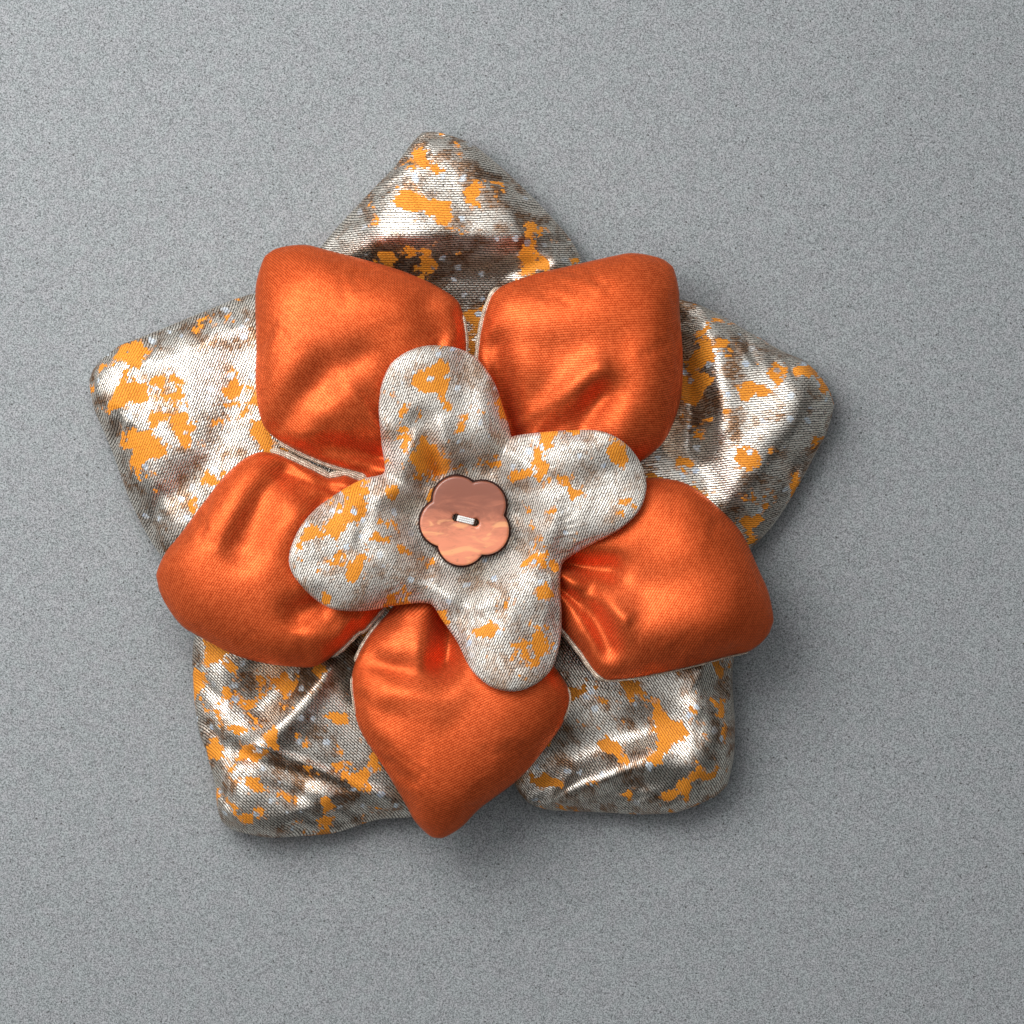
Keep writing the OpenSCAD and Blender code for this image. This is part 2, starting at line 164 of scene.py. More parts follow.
TOP_FOLDS = [
    [0, -1.6, 2.2, (-7, 16), (-6.5, 11)],
    [0, 0.8, 2, (-5, 16), (-2, 11)],
    [0, -1.3, 2.4, (-13.5, 1), (-10.5, 1)],
    [0, -1.4, 2.4, (1.5, -11), (-1, -16.5)],
    [0, -1.2, 2.2, (5, 10.5), (6.5, 13)],
    [0, -1, 2.2, (11, -5), (15, -7)],
]

# Finer pleats of the cloth: number of the petal, height at its start and end, half width at its start
# and end, share by which its left flank is wider and its right one narrower, points along it
BASE_PLEATS = [
    [0, 3, 3, 4, 4, 0, (-20.5, 45), (13, 45.5)],
    [0, -3, -2.6, 2.9, 2.7, 0, (-22, 43.4), (-2, 42.8), (13, 42.8)],
    [0, -5.2, -5, 4.4, 4.4, 0, (-18, 38.8), (10.5, 38.6)],
    [0, -8, -7.5, 6.5, 6.5, 0, (-14, 31), (8, 31)],
    [0, 2, 1.6, 3, 2.6, 0.3, (-14, 49), (-2, 49.8), (10, 49.2)],
    [0, -0.4, -0.3, 2.2, 1.8, 0, (-6, 58.6), (6, 57.5)],
    [0, 2.2, 1, 1.7, 1.3, -0.3, (9, 41.4), (13, 43.2), (17, 44.6)],
    [0, -0.3, -0.2, 0.6, 0.6, 0, (-9.1, 56.7), (-6.5, 51.6)],
    [0, 1, 0.8, 4, 4, 0, (10, 52), (14.5, 47.5)],
    [1, -0.6, -0.4, 2, 2.2, 0, (-57, 25.5), (-55.5, 22.5)],
    [1, -0.6, -0.4, 2.2, 2.6, 0, (-40.5, 18.5), (-43, 13)],
    [1, 0.5, 0.3, 2, 2.6, 0, (-48, 25), (-47, 13)],
    [1, -0.6, -0.3, 1.6, 2.2, 0, (-51, 4), (-45.5, 9)],
    [2, 1, 1.2, 0.9, 3.4, 0.4, (-23.5, -24.8), (-27.7, -30.2), (-31.1, -34.6), (-36, -38)],
    [2, -4.6, -3, 3.2, 4.6, 0, (-27.8, -23), (-32.6, -27.4), (-37.6, -30.4)],
    [2, -5, -2.5, 3, 2.6, 0, (-18.5, -21), (-18, -29)],
    [2, -1.2, -0.6, 1.8, 2.2, 0, (-39, -40), (-31, -42.6), (-18, -46.6)],
    [2, 1.4, 0.9, 0.9, 0.8, -0.3, (-37.5, -38.8), (-28.5, -41.8), (-11.2, -48.6)],
    [2, 1, 0.7, 1.7, 1.6, 0.3, (-38.5, -42.6), (-27.7, -46.5), (-19.5, -49.4)],
    [2, 0.4, 0.3, 2, 2, 0.2, (-37, -45), (-38, -50)],
    [2, 0.8, 0.5, 5, 4, 0, (-22, -32), (-17, -38)],
    [3, 1.8, 1.2, 2.2, 3.2, 0.3, (14.5, -48.6), (22.1, -44.8), (28, -42.4), (35, -42)],
    [3, -4.4, -2.6, 6, 5, 0, (13, -42), (23, -39.5), (31, -36.5)],
    [3, -5, -3, 5.5, 5.5, 0, (15, -20), (22, -31)],
    [3, 2.4, 2.4, 3, 3, 0, (25, -37.5), (31, -37.5)],
    [3, 2.2, 1.6, 4, 4, 0, (41.5, -27), (43.4, -35.5), (42, -42)],
    [3, -0.9, -0.5, 1.2, 1.8, 0, (20.1, -48.6), (29, -45.2)],
    [4, -6, -4.4, 3.6, 3.8, 0, (34.4, 36), (36.8, 26), (38.4, 14)],
    [4, -1.8, -1.4, 3, 3.4, 0, (38, 13), (42, 7)],
    [4, -0.8, -0.6, 2.2, 2.2, 0, (41, 32), (44, 15)],
    [4, 0.5, 0.4, 3.4, 4.2, 0, (43.5, 31), (47.6, 20), (48.2, 8)],
    [4, 2.6, 1.8, 6.5, 5, 0, (61.5, 25), (55, 15), (48.5, 6)],
    [4, -3.8, -2.8, 3.6, 3.2, 0, (63, 17), (57, 8.5), (51.5, 0)],
    [4, 0.6, 0.4, 0.8, 0.9, 0, (53.9, 29.7), (58.5, 26.2)],
    [4, -0.6, -0.4, 0.9, 1.1, 0, (53, 27.9), (57.3, 24.4)],
]
SATIN_PLEATS = [
    [0, 0.5, 0.1, 1, 1.6, 0, (-3.2, 29.6), (-0.6, 34.4)],
    [0, -1, -0.4, 1, 2.2, 0, (-5, 29.6), (-4.4, 34.6)],
    [0, 0.8, 0.5, 1.5, 2.4, 0.3, (-21, 15.4), (-31.5, 14.2)],
    [0, -0.9, -0.7, 2.4, 4.2, 0, (-18, 28.5), (-25, 23.8), (-33.6, 16.6)],
    [0, -1.4, -0.5, 1, 2.6, 0.2, (-13.4, 10.8), (-18.5, 11.8), (-24, 13.2)],
    [0, 0.7, 0.5, 0.9, 1.5, 0, (-13.6, 8.5), (-23.4, 10.5), (-31.5, 12.7)],
    [0, 0.7, 0.2, 0.7, 1.8, 0.3, (-13.2, 15), (-21.6, 24.6)],
    [0, 0.4, 0.1, 0.5, 1.4, 0, (-12.4, 19), (-18.4, 26)],
    [0, -0.9, -0.2, 0.8, 2, 0, (-13.8, 16.6), (-19, 22.4)],
    [0, -0.6, -0.2, 0.8, 2.4, 0, (-12.2, 22.4), (-14.6, 29)],
    [1, -1.6, -1, 2.2, 3.6, 0.3, (-30.5, 9), (-35, 4), (-39.6, -4.6)],
    [1, -1.5, -0.8, 0.9, 1.8, -0.2, (-20.5, 4.3), (-27, 6.6), (-33, 9.6)],
    [1, 0.9, 0.3, 1.5, 3.2, 0, (-26.8, 3.8), (-31.4, -2.4), (-34.4, -7)],
    [1, 0.5, 0.4, 0.9, 1.4, 0, (-19.6, 5.9), (-27.6, 8.5), (-34, 11.2)],
    [1, -1.6, -0.3, 1.3, 3, 0, (-24.2, -13.4), (-31, -16.6)],
    [1, 0.9, 0.3, 1.6, 3.4, 0.2, (-23.4, -20.2), (-31, -19.6)],
    [1, -0.5, -0.3, 1.4, 3, 0, (-22.8, -17.4), (-27, -22.6)],
    [2, 1.2, 0.5, 2.2, 4, 0, (-10.6, -15.6), (-12.2, -22.4)],
    [2, -2.2, -0.9, 1.5, 3.6, -0.3, (-2.2, -16.4), (-3.4, -25.6)],
    [2, -1, -0.7, 1.8, 2.4, 0, (-16.6, -23), (-11.6, -26.6), (-5, -27.4)],
    [2, 0.5, 0.3, 2.2, 2.6, 0, (-13.6, -30.4), (-2, -29.6)],
    [2, -0.9, -0.6, 3.2, 4.2, 0, (-13, -34.4), (-9, -38.6)],
    [2, -0.5, -0.4, 3, 3.6, 0, (-2, -36), (2, -40)],
    [2, 0.5, 0.3, 0.9, 1.6, 0, (16.2, -23.4), (16.4, -29.6)],
    [2, -0.8, -0.3, 1.4, 2.6, 0, (12.4, -22.4), (10.6, -29)],
    [3, 0.6, 0.2, 0.9, 2.4, 0, (16.6, -6.5), (28, -4.4)],
    [3, -1.8, -0.4, 0.8, 3, 0.2, (15.6, -7.6), (20.4, -8.6), (30, -10.6)],
    [3, 1, 0.3, 1, 3, 0, (16.4, -9.2), (22.4, -14), (28.6, -19.6)],
    [3, -2, -0.8, 1, 2.8, 0.3, (16.6, -11.4), (22, -17), (25.4, -23.4)],
    [3, 0.6, 0.3, 0.9, 1.8, 0, (16.6, -13.6), (21, -22), (22.8, -27)],
    [3, 0.8, 0.5, 3.2, 4.4, 0, (29, -20.2), (40, -18.6)],
    [3, -0.6, -0.4, 3.4, 4.4, 0, (31, -12.6), (42, -9)],
    [3, 1.4, 1.4, 7, 7, 0, (41, -6), (45, -17)],
    [4, -2.2, -0.8, 1, 2.8, -0.2, (8.8, 14.6), (7, 21), (4.8, 29.6)],
    [4, -1.5, -0.3, 0.8, 2.2, 0, (9.2, 14.2), (15.6, 21.4)],
    [4, 0.9, 0.3, 0.8, 3, 0, (9.6, 16.6), (17, 22.8), (23, 28)],
    [4, -0.9, -0.7, 1.6, 3, 0, (13.8, 15.6), (19.6, 19), (26.4, 22.6)],
    [4, 0.9, 0.5, 2.8, 4.4, 0, (27, 13.6), (30, 19), (32.6, 26.6)],
    [4, -0.5, -0.4, 2.6, 3.6, 0, (6, 31.6), (14, 29.6), (26, 30.6)],
    [4, 0.5, 0.2, 1.2, 2, 0, (2.9, 30.5), (6.2, 34.6)],
    [4, -0.7, -0.2, 0.8, 2.2, 0, (16.6, 13.2), (22, 15.6)],
]
TOP_PLEATS = [
    [0, -2.4, -1, 1, 1.5, 0.2, (-4.6, 8.2), (-5.2, 11), (-7.6, 17.6)],
    [0, 1.2, 0.4, 0.9, 1.6, 0, (-2, 8.2), (-3.2, 12), (-4.8, 17)],
    [0, -0.6, -0.2, 0.7, 1.4, 0, (-0.4, 8.6), (-2.4, 14.6)],
    [0, -2.2, -0.8, 1.2, 2, 0, (-8.8, 1.9), (-16, 2.2)],
    [0, -0.9, -0.4, 1, 2, 0, (-7.6, 6.2), (-14.2, 9)],
    [0, 0.5, 0.1, 0.8, 1.8, 0, (-8.6, 4.2), (-15, 5.6)],
    [0, -0.5, -0.2, 0.8, 1.6, 0, (8.6, 5.2), (17.5, 6.8)],
    [0, 0.5, 0.1, 0.7, 1.4, 0, (8.9, 3.2), (14.5, 3.6)],
    [0, -0.5, -0.1, 0.6, 1.4, 0, (9, 1.2), (14, 0.6)],
    [0, 0.4, 0.1, 0.8, 1.6, 0, (8.9, -1.2), (14.5, -2.4)],
    [0, -1.4, -0.7, 0.9, 1.8, 0, (8.6, -3.8), (16, -7.2)],
    [0, -1.8, -0.8, 1.1, 2, 0, (2.4, -9), (-1.6, -18.6)],
    [0, 0.5, 0.1, 0.8, 1.4, 0, (4.6, -9), (6.4, -15)],
    [0, 0.5, 0.1, 0.8, 1.4, 0, (-4.8, -9.4), (-6.6, -14.8)],
    [0, -0.8, -0.2, 0.8, 1.6, 0, (-6.4, -7.6), (-8, -13.8)],
    [0, 0.5, 0.1, 0.8, 1.6, 0, (-8.8, -3.6), (-15, -7)],
    [0, -0.8, -0.3, 0.8, 1.6, 0, (4.4, 8.6), (8, 14.8)],
]

# The top flower's lobes swell round the hollow that the button draws in, and fall towards their ends:
# by how much, how far from the middle, and over how far
SHOULDER, SHOULDER_AT, SHOULDER_WIDTH = 2.2, 14.6, 4.8
END_FALL, FALL_START, FALL_STEP = 1.0, 17, 12

# Directions of the weave's lines on each piece, anticlockwise from the right
BASE_WEAVE = [0, 68, 137, 125, 5]
SATIN_WEAVE = [135, 55, 25, 60, 3]
TOP_WEAVE = 67

# Where the brocade back of a satin petal rolls up over the seam as a thin edge:
# petal, side (1 left, -1 right), start and end along the petal, half thickness, distance in from the seam
EDGE_ROLLS = [
    [0, 1, 12, 30.5, 0.42, -0.26], [0, -1, 19, 29, 0.30, 0.05],
    [1, -1, 13, 31.5, 0.68, -0.40], [1, 1, 16, 27.5, 0.42, -0.10],
    [2, -1, 18, 26.5, 0.36, -0.10], [2, -1, 28.5, 35.5, 0.24, 0.05], [2, 1, 27, 33.5, 0.20, 0.05],
    [3, -1, 16, 32.5, 0.58, 0.05], [3, -1, 31, 54, 0.20, 0],
    [4, 1, 19, 35.5, 0.44, -0.05],
]

# Steps of the finished covers and of the ones that are simulated
FINE_ALONG, FINE_ACROSS = 128, 96
FINE_ROUND, FINE_OUT = 300, 64
SIM_ALONG, SIM_ACROSS = 42, 36
SIM_ROUND, SIM_OUT = 96, 20


def smooth(table, x, c):
    """A smooth curve through column c of a table whose first column rises."""
    rows = np.array(table, float)
    xs, ys = rows[:, 0], rows[:, c]
    last = len(xs) - 1
    before = np.maximum(np.arange(last + 1) - 1, 0)
    after = np.minimum(np.arange(last + 1) + 1, last)
    slopes = (ys[after] - ys[before]) / (xs[after] - xs[before])
    i = np.clip(np.searchsorted(xs, x, side="right") - 1, 0, last - 1)
    h = xs[i + 1] - xs[i]
    t = np.clip((x - xs[i]) / h, 0, 1)
    t2, t3 = t * t, t * t * t
    ends = (2 * t3 - 3 * t2 + 1) * ys[i] + (3 * t2 - 2 * t3) * ys[i + 1]
    return ends + ((t3 - 2 * t2 + t) * slopes[i] + (t3 - t2) * slopes[i + 1]) * h


def smooth_step(x):
    t = np.clip(x, 0, 1)
    return t * t * (3 - 2 * t)


def soft_max(a, b):
    d = np.abs(a - b) / BLEND
    return np.maximum(a, b) + np.where(d > BLEND_END, 0, BLEND * np.log1p(np.exp(-d)))


def fold_height(folds, i, points):
    """Height that the folds of one piece add at plan points."""
    return pleat_height([[piece, rise, rise, width, width, 0, *way] for piece, rise, width, *way in folds],
                        i, points)


def pleat_height(pleats, i, points):
    """Height that the finer pleats of one piece add at plan points."""
    height = np.zeros(points.shape[:-1])
    for piece, start, finish, narrow, wide, lean, *way in pleats:
        if piece != i:
            continue
        spans = [math.dist(a, b) for a, b in zip(way, way[1:])]
        best = np.full(points.shape[:-1], np.inf)
        share, flank = np.zeros(best.shape), np.zeros(best.shape)
        for k, (a, b) in enumerate(zip(way, way[1:])):
            step = np.array(b, float) - a
            t = np.clip((points - a) @ step / (step @ step), 0, 1)
            away = points - a - t[..., None] * step
            far = np.linalg.norm(away, axis=-1)
            nearer = far < best
            best = np.where(nearer, far, best)
            share = np.where(nearer, (sum(spans[:k]) + t * spans[k]) / sum(spans), share)
            cross = (step[0] * away[..., 1] - step[1] * away[..., 0]) / np.maximum(far, 1e-6) / spans[k]
            flank = np.where(nearer, cross, flank)
        width = (narrow + (wide - narrow) * share) * (1 + lean * flank)
        height += (start + (finish - start) * share) * np.exp(-((best / width) ** 2))
    return height


def share_angle(axes, i, side):
    """Half the angle between a petal's axis and its neighbour's, on the left (1) or right (-1)."""
    turn = side * (axes[(i + side) % len(axes)] - axes[i])
    return (turn % 360) / 2


@dataclass
class Ring:
    """One ring of petals, and the ring that it lies on."""

    axes: list
    sections: list
    levels: list
    folds: list
    pleats: list
    under: "Ring" = None

    def reach(self, i):
        return self.sections[i][-1][0]

    def half_width(self, i, along, side):
        """Half width of a petal, kept clear of the line that it shares with its neighbour."""
        angle = math.radians(share_angle(self.axes, i, side))
        shared = along * math.tan(angle) - PETAL_GAP / 2 / math.cos(angle)
        cut = smooth(self.sections[i], along, 1 if side > 0 else 2)
        tip = np.maximum(along - self.reach(i) + TIP_RADIUS, 0) / TIP_RADIUS
        return np.minimum(cut * np.sqrt(1 - (TIP_CUT * np.minimum(tip, 1)) ** 2), shared)

    def crown(self, i, points):
        """Share of its full puff that a petal has at plan points: none at the seam and outside it."""
        axis = math.radians(self.axes[i])
        along = points @ np.array([math.cos(axis), math.sin(axis)])
        side = points @ np.array([-math.sin(axis), math.cos(axis)])
        inside = (along > INNER_END) & (along < self.reach(i))
        safe = np.where(inside, along, (INNER_END + self.reach(i)) / 2)
        half = np.where(side < 0, self.half_width(i, safe, -1), self.half_width(i, safe, 1))
        across = np.minimum(np.abs(side) / np.maximum(half, 0.01), 1)
        return np.where(inside, crown_at(across, safe, self.reach(i)), 0)

    def under_height(self, points):
        level = smooth(self.levels, np.linalg.norm(points, axis=-1), 1)
        if self.under is None:
            return np.maximum(level, 0)
        return soft_max(self.under.top_height(points) + LAYER_GAP, level - SAG)

    def seam_height(self, points):
        return self.under_height(points) + smooth(self.levels, np.linalg.norm(points, axis=-1), 2)

    def rise(self, i, points, fine):
        """Height of the crown above the seam, with the finer pleats or without."""
        height = smooth(self.levels, np.linalg.norm(points, axis=-1), 3) + fold_height(self.folds, i, points)
        return height + pleat_height(self.pleats, i, points) if fine else height

    def top_height(self, points):
        """Highest padding of the ring at plan points, with the part's own folds."""
        seam = self.seam_height(points)
        tops = []
        for i in range(len(self.axes)):
            crown = self.crown(i, points)
            tops.append(np.where(crown > 0, seam + crown * self.rise(i, points, False), NOTHING))
        return np.max(tops, axis=0)


def rounded(share):
    return np.sqrt(1 - (1 - np.clip(share, 0, 1)) ** 2)


def crown_at(across, along, reach):
    side = np.sqrt(np.maximum(1 - np.abs(across) ** FULLNESS, 0))
    return side * rounded((along - INNER_END) / INNER_RISE) * rounded((reach - along) / TIP_RISE)


BASE = Ring(BASE_AXES, BASE_SECTIONS, BASE_LEVELS, BASE_FOLDS, BASE_PLEATS)
SATIN = Ring(SATIN_AXES, SATIN_SECTIONS, SATIN_LEVELS, SATIN_FOLDS, SATIN_PLEATS, BASE)


def soft_noise(points, size, seed):
    """Smooth random values near -1 to 1 over plan points, with bumps about size across."""
    rng = np.random.default_rng(seed)
    waves = 18
    turns = rng.uniform(0, 2 * math.pi, waves)
    pace = rng.uniform(0.6, 1.4, waves) * math.pi / size
    phases = rng.uniform(0, 2 * math.pi, waves)
    value = np.zeros(points.shape[:-1])
    for turn, k, phase in zip(turns, pace, phases):
        value += np.cos(k * (points[..., 0] * math.cos(turn) + points[..., 1] * math.sin(turn)) + phase)
    return value / math.sqrt(waves)


class Cover:
    """The cover of one padded piece as two grids that share their seam: top and bottom, in millimetres."""

    def __init__(self, name, top, bottom, edge, closed):
        self.name, self.top, self.bottom = name, top, bottom
        # Distance of each grid point from the seam, and whether the rows close into rings
        self.edge, self.closed = edge, closed

    def seam(self):
        rows, columns = self.top.shape[:2]
        mark = np.zeros((rows, columns), bool)
        mark[-1, :] = True
        if not self.closed:
            mark[0, :] = mark[:, 0] = mark[:, -1] = True
        return mark


def petal_cover(ring, i, name, rows, columns, fine):
    """The cover of one petal. A fine one has the small folds too."""
    reach = ring.reach(i)
    along = INNER_END + (reach - INNER_END) * (1 - (1 - np.arange(rows + 1) / rows) ** TIP_CROWDING)
    half = [ring.half_width(i, along, side) for side in (-1, 1)]
    share = np.broadcast_to(-np.cos(np.pi * np.arange(columns + 1) / columns), (rows + 1, columns + 1))
    width = np.where(share < 0, half[0][:, None], half[1][:, None])
    across = share * width
    axis = math.radians(ring.axes[i])
    plan = np.stack([
        along[:, None] * math.cos(axis) - across * math.sin(axis),
        along[:, None] * math.sin(axis) + across * math.cos(axis),
    ], axis=-1)
    crown = crown_at(share, along[:, None], reach)
    seam = ring.seam_height(plan)
    lift = smooth(ring.levels, np.linalg.norm(plan, axis=-1), 2)
    bottom = np.dstack([plan, seam - lift * np.minimum(FLATNESS * crown, 1)])
    height = seam + crown * ring.rise(i, plan, fine)
    top = np.dstack([plan, np.maximum(height, bottom[..., 2] + LEAST_PUFF * crown)])
    edge = np.minimum((1 - np.abs(share)) * width, np.minimum(reach - along, along - INNER_END)[:, None])
    cover = Cover(name, top, bottom, edge, False)
    cover.along, cover.share = along, share
    return cover


def top_reach(angle):
    return smooth(TOP_OUTLINE, np.where(angle < TOP_OUTLINE[0][0], angle + 360, angle), 1)


def top_flower_cover(rows, columns, fine):
    """The cover of the top flower, as rings of points from its middle to its seam."""
    angle = 360 * np.arange(columns) / columns
    share = np.sin(np.pi / 2 * np.arange(rows + 1) / rows)
    distance = share[:, None] * top_reach(angle)[None, :]
    turn = np.radians(angle)[None, :]
    plan = np.stack([distance * np.cos(turn), distance * np.sin(turn)], axis=-1)
    crown = np.sqrt(np.maximum(1 - share ** FULLNESS, 0))[:, None]
    level = smooth(TOP_LEVELS, distance, 1)
    under = soft_max(SATIN.top_height(plan) + LAYER_GAP, level - SAG)
    lift = smooth(TOP_LEVELS, distance, 2)
    rise = smooth(TOP_LEVELS, distance, 3) + fold_height(TOP_FOLDS, 0, plan)
    if fine:
        swell = SHOULDER * np.exp(-((distance - SHOULDER_AT) / SHOULDER_WIDTH) ** 2)
        rise += pleat_height(TOP_PLEATS, 0, plan) + swell
        rise -= END_FALL * smooth_step((distance - FALL_START) / FALL_STEP)
    top = np.dstack([plan, under + lift + crown * rise])
    bottom = np.dstack([plan, under + lift - crown * lift])
    edge = (1 - share)[:, None] * top_reach(angle)[None, :]
    cover = Cover("top_flower_cover", top, bottom, edge, True)
    cover.share, cover.angle = share, angle
    return cover


def run_length(points):
    """Distance covered along the first axis of rows of points."""
    steps = np.linalg.norm(np.diff(points, axis=0), axis=-1)
    return np.concatenate([np.zeros((1, *steps.shape[1:])), np.cumsum(steps, axis=0)])


def angle_steps(count):
    return 2 * np.pi * np.arange(count) / count


def link(piece):
    bpy.context.scene.collection.objects.link(piece)
    return piece


def new_piece(name, points, faces, materials=()):
    """An object made of points, in metres, and faces."""
    mesh = bpy.data.meshes.new(name)
    mesh.from_pydata(np.asarray(points).tolist(), [], faces)
    for material in materials:
        mesh.materials.append(material)
    mesh.update()
    return link(bpy.data.objects.new(name, mesh))


def lay_cloth(piece, corners):
    """Keeps where each corner of each face lies on the flat cloth."""
    where = piece.data.attributes.new("cloth_place", "FLOAT_VECTOR", "CORNER")
    where.data.foreach_set("vector", np.array(corners).ravel())
    piece.data.update()


def hand_in(piece, node=None):
    """Ties a piece to the part: its body, and the node that it stands for."""
    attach(piece, "root")
    if node is not None:
        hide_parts(node)


# What sets the cloth of different pieces apart, in its third coordinate: the step from piece to piece,
# the step to a cover's back, and for rolled edges the start and the step by where they begin
PIECE_SHIFT, BACK_SHIFT = 0.05, 0.6
EDGE_SHIFT, EDGE_STEP = 0.9, 0.01


def cloth_places(cover, axis, weave, piece):
    """Where each point of a plain top lies on its flat cloth, in metres, with the weave's lines along x."""
    if cover.closed:
        out = run_length(cover.top)
        turn = np.radians(cover.angle - weave)[None, :]
        x, y = out * np.cos(turn), out * np.sin(turn)
    else:
        middle = [cover.top.shape[1] // 2]
        across = run_length(cover.top.transpose(1, 0, 2)).T
        across = across - across[:, middle]
        along = run_length(cover.top[:, middle])
        turn = math.radians(axis - weave)
        x = along * math.cos(turn) - across * math.sin(turn)
        y = along * math.sin(turn) + across * math.cos(turn)
    return np.dstack([x * MM, y * MM, np.full(x.shape, PIECE_SHIFT * piece)])


def cover_points(cover):
    """The points of a cover's mesh, and the number of the point at each place of its two grids."""
    rows, columns = cover.top.shape[:2]
    upper = np.arange(rows * columns).reshape(rows, columns)
    if cover.closed:
        upper[0] = 0
    lower = np.where(cover.seam(), upper, upper + rows * columns)
    points = np.vstack([cover.top.reshape(-1, 3), cover.bottom.reshape(-1, 3)])
    used, number = np.unique(np.stack([upper, lower]), return_inverse=True)
    return points[used], *number.reshape(2, rows, columns)


def grid_faces(upper, lower, closed):
    """Faces of both grids, and for each the grid places of its corners and its side, 0 top or 1 bottom."""
    rows, columns = upper.shape
    faces, corners, sides = [], [], []
    for s in range(rows - 1):
        for j in range(columns if closed else columns - 1):
            k = (j + 1) % columns
            square = [(s, j), (s + 1, j), (s + 1, k), (s, k)]
            if closed and s == 0:
                square = [(0, j), (1, j), (1, k)]
            for grid, side in ((upper, 0), (lower, 1)):
                way = square if side == 0 else square[::-1]
                faces.append([int(grid[p]) for p in way])
                corners.append(way)
                sides.append(side)
    return faces, corners, sides


# The cloth simulation works on large copies, so that usual forces fit: this many metres to a millimetre
SIM_SCALE = 0.02
SIM_FRAMES = 18
CLOTH_RULES = {
    "quality": 6, "mass": 0.25, "air_damping": 2, "tension_stiffness": 20, "compression_stiffness": 20,
    "shear_stiffness": 8, "bending_stiffness": 0.4, "shrink_min": -0.035, "vertex_group_mass": "seam",
    "pin_stiffness": 1, "use_pressure": True, "uniform_pressure_force": 5,
}


def simulate(covers):
    """Lets each cover settle under the pressure of its stuffing. Gives how far its points moved."""
    scene = bpy.context.scene
    made = []
    for cover in covers:
        points, upper, lower = cover_points(cover)
        faces = grid_faces(upper, lower, cover.closed)[0]
        body = new_piece("settling", points * SIM_SCALE, faces)
        pinned = body.vertex_groups.new(name="seam")
        pinned.add(np.unique(upper[cover.seam()]).tolist(), 1.0, "REPLACE")
        cloth = body.modifiers.new("cloth", "CLOTH")
        cloth.point_cache.frame_start = 1
        cloth.point_cache.frame_end = SIM_FRAMES
        cloth.collision_settings.use_collision = False
        for rule, value in CLOTH_RULES.items():
            setattr(cloth.settings, rule, value)
        cloth.settings.effector_weights.gravity = 0
        made.append((cover, body, points, upper, lower))
    for number in range(1, SIM_FRAMES + 1):
        scene.frame_set(number)
    graph = bpy.context.evaluated_depsgraph_get()
    moved = []
    for cover, body, points, upper, lower in made:
        settled = body.evaluated_get(graph).to_mesh()
        after = np.zeros(len(points) * 3)
        settled.vertices.foreach_get("co", after)
        step = after.reshape(-1, 3) / SIM_SCALE - points
        moved.append((step[upper], step[lower]))
        mesh = body.data
        bpy.data.objects.remove(body)
        bpy.data.meshes.remove(mesh)
    scene.frame_set(1)
    return moved


def spread_rows(values, count, closed):
    """Values at evenly spaced steps along the first axis, taken to count steps by a smooth curve."""
    steps = values.shape[0]
    span = steps if closed else steps - 1
    at = np.arange(count) / (count if closed else count - 1) * span
    i = np.minimum(at.astype(int), span - 1)
    t = (at - i)[:, None, None]
    pick = (lambda k: values[k % steps]) if closed else (lambda k: values[np.clip(k, 0, steps - 1)])
    a, b, c, d = pick(i - 1), pick(i), pick(i + 1), pick(i + 2)
    return b + 0.5 * t * (c - a + t * (2 * a - 5 * b + 4 * c - d + t * (3 * (b - c) + d - a)))


def spread_grid(values, rows, columns, closed):
    tall = spread_rows(values, rows, False)
    return spread_rows(tall.transpose(1, 0, 2), columns, closed).transpose(1, 0, 2)


# Most that the simulation may move a point, how far in from the seam it takes hold, and the share of it
# that each kind of cover takes, at its top and at its back
MOST_MOVE = 1.3
HOLD = 1.2
SETTLED = {"base": (0.8, 0.25), "satin": (0.4, 0.25), "top": (0.6, 0.2)}


def settle(cover, moved, shares, shown):
    """Moves a fine cover's points as its simulated copy moved, in the given shares for top and bottom."""
    rows, columns = cover.top.shape[:2]
    for grid, steps, share in zip((cover.top, cover.bottom), moved, shares):
        if cover.closed:
            middle = np.broadcast_to(steps[:1].mean(axis=1, keepdims=True), steps[:1].shape)
            steps = np.vstack([middle, steps[1:]])
        step = spread_grid(steps, rows, columns, cover.closed)
        length = np.linalg.norm(step, axis=-1, keepdims=True)
        step = step * np.minimum(1, MOST_MOVE / np.maximum(length, 0.001))
        hold = 1 - np.exp(-np.maximum(cover.edge, 0) / HOLD)
        step[..., :2] *= hold[..., None]
        grid += step * (share * shown)[..., None]


def grid_normals(grid, closed):
    """Directions away from a cover's top at its grid points."""
    if closed:
        around = np.roll(grid, -1, axis=1) - np.roll(grid, 1, axis=1)
    else:
        around = np.gradient(grid, axis=1)
    out = np.gradient(grid, axis=0)
    normal = np.cross(out, around)
    normal /= np.maximum(np.linalg.norm(normal, axis=-1, keepdims=True), 1e-9)
    return normal * np.sign(normal[..., 2:3] + 1e-9)


# Share of its puff at which an upper piece starts to cover what lies under it, and the step to full cover
COVER_START, COVER_STEP = 0.35, 0.4


def covered(points, rings, flower):
    """How far plan points lie under the pieces above them: 0 in the open, 1 well inside."""
    share = np.zeros(points.shape[:-1])
    for ring in rings:
        for i in range(len(ring.axes)):
            share = np.maximum(share, ring.crown(i, points))
    if flower:
        distance = np.linalg.norm(points, axis=-1)
        angle = np.degrees(np.arctan2(points[..., 1], points[..., 0])) % 360
        share = np.maximum(share, np.sqrt(np.maximum(1 - (distance / top_reach(angle)) ** FULLNESS, 0)))
    return smooth_step((share - COVER_START) / COVER_STEP)


# Widths of the lumps and of the puckers, wide and fine, the share of the weaker of each two, and how far
# in from the seam they take hold
LUMP_WIDTHS, FINE_LUMPS, LUMP_HOLD = (7.0, 2.6), 0.2, 0.8
PUCKER_WIDTHS, WIDE_PUCKERS, PUCKER_HOLD = (3.4, 1.7), 0.6, 0.35
# How far in the puckers fade, the share of the way in that they count, so that they run across the seam,
# the length that a degree of the top flower counts for, and what sets the two sides of a piece apart
PUCKER_FADE, PUCKER_RUN = 2.4, 0.35
DEGREE_LENGTH, SIDE_SHIFT = 0.35, 40
# Distance from the seam and half width of the bead and of the groove beside it, and the groove's depth
# as a share of the bead's height
BEAD_AT, BEAD_WIDTH = 0.55, 0.38
GROOVE_AT, GROOVE_WIDTH, GROOVE_SHARE = 1.5, 0.55, 0.8


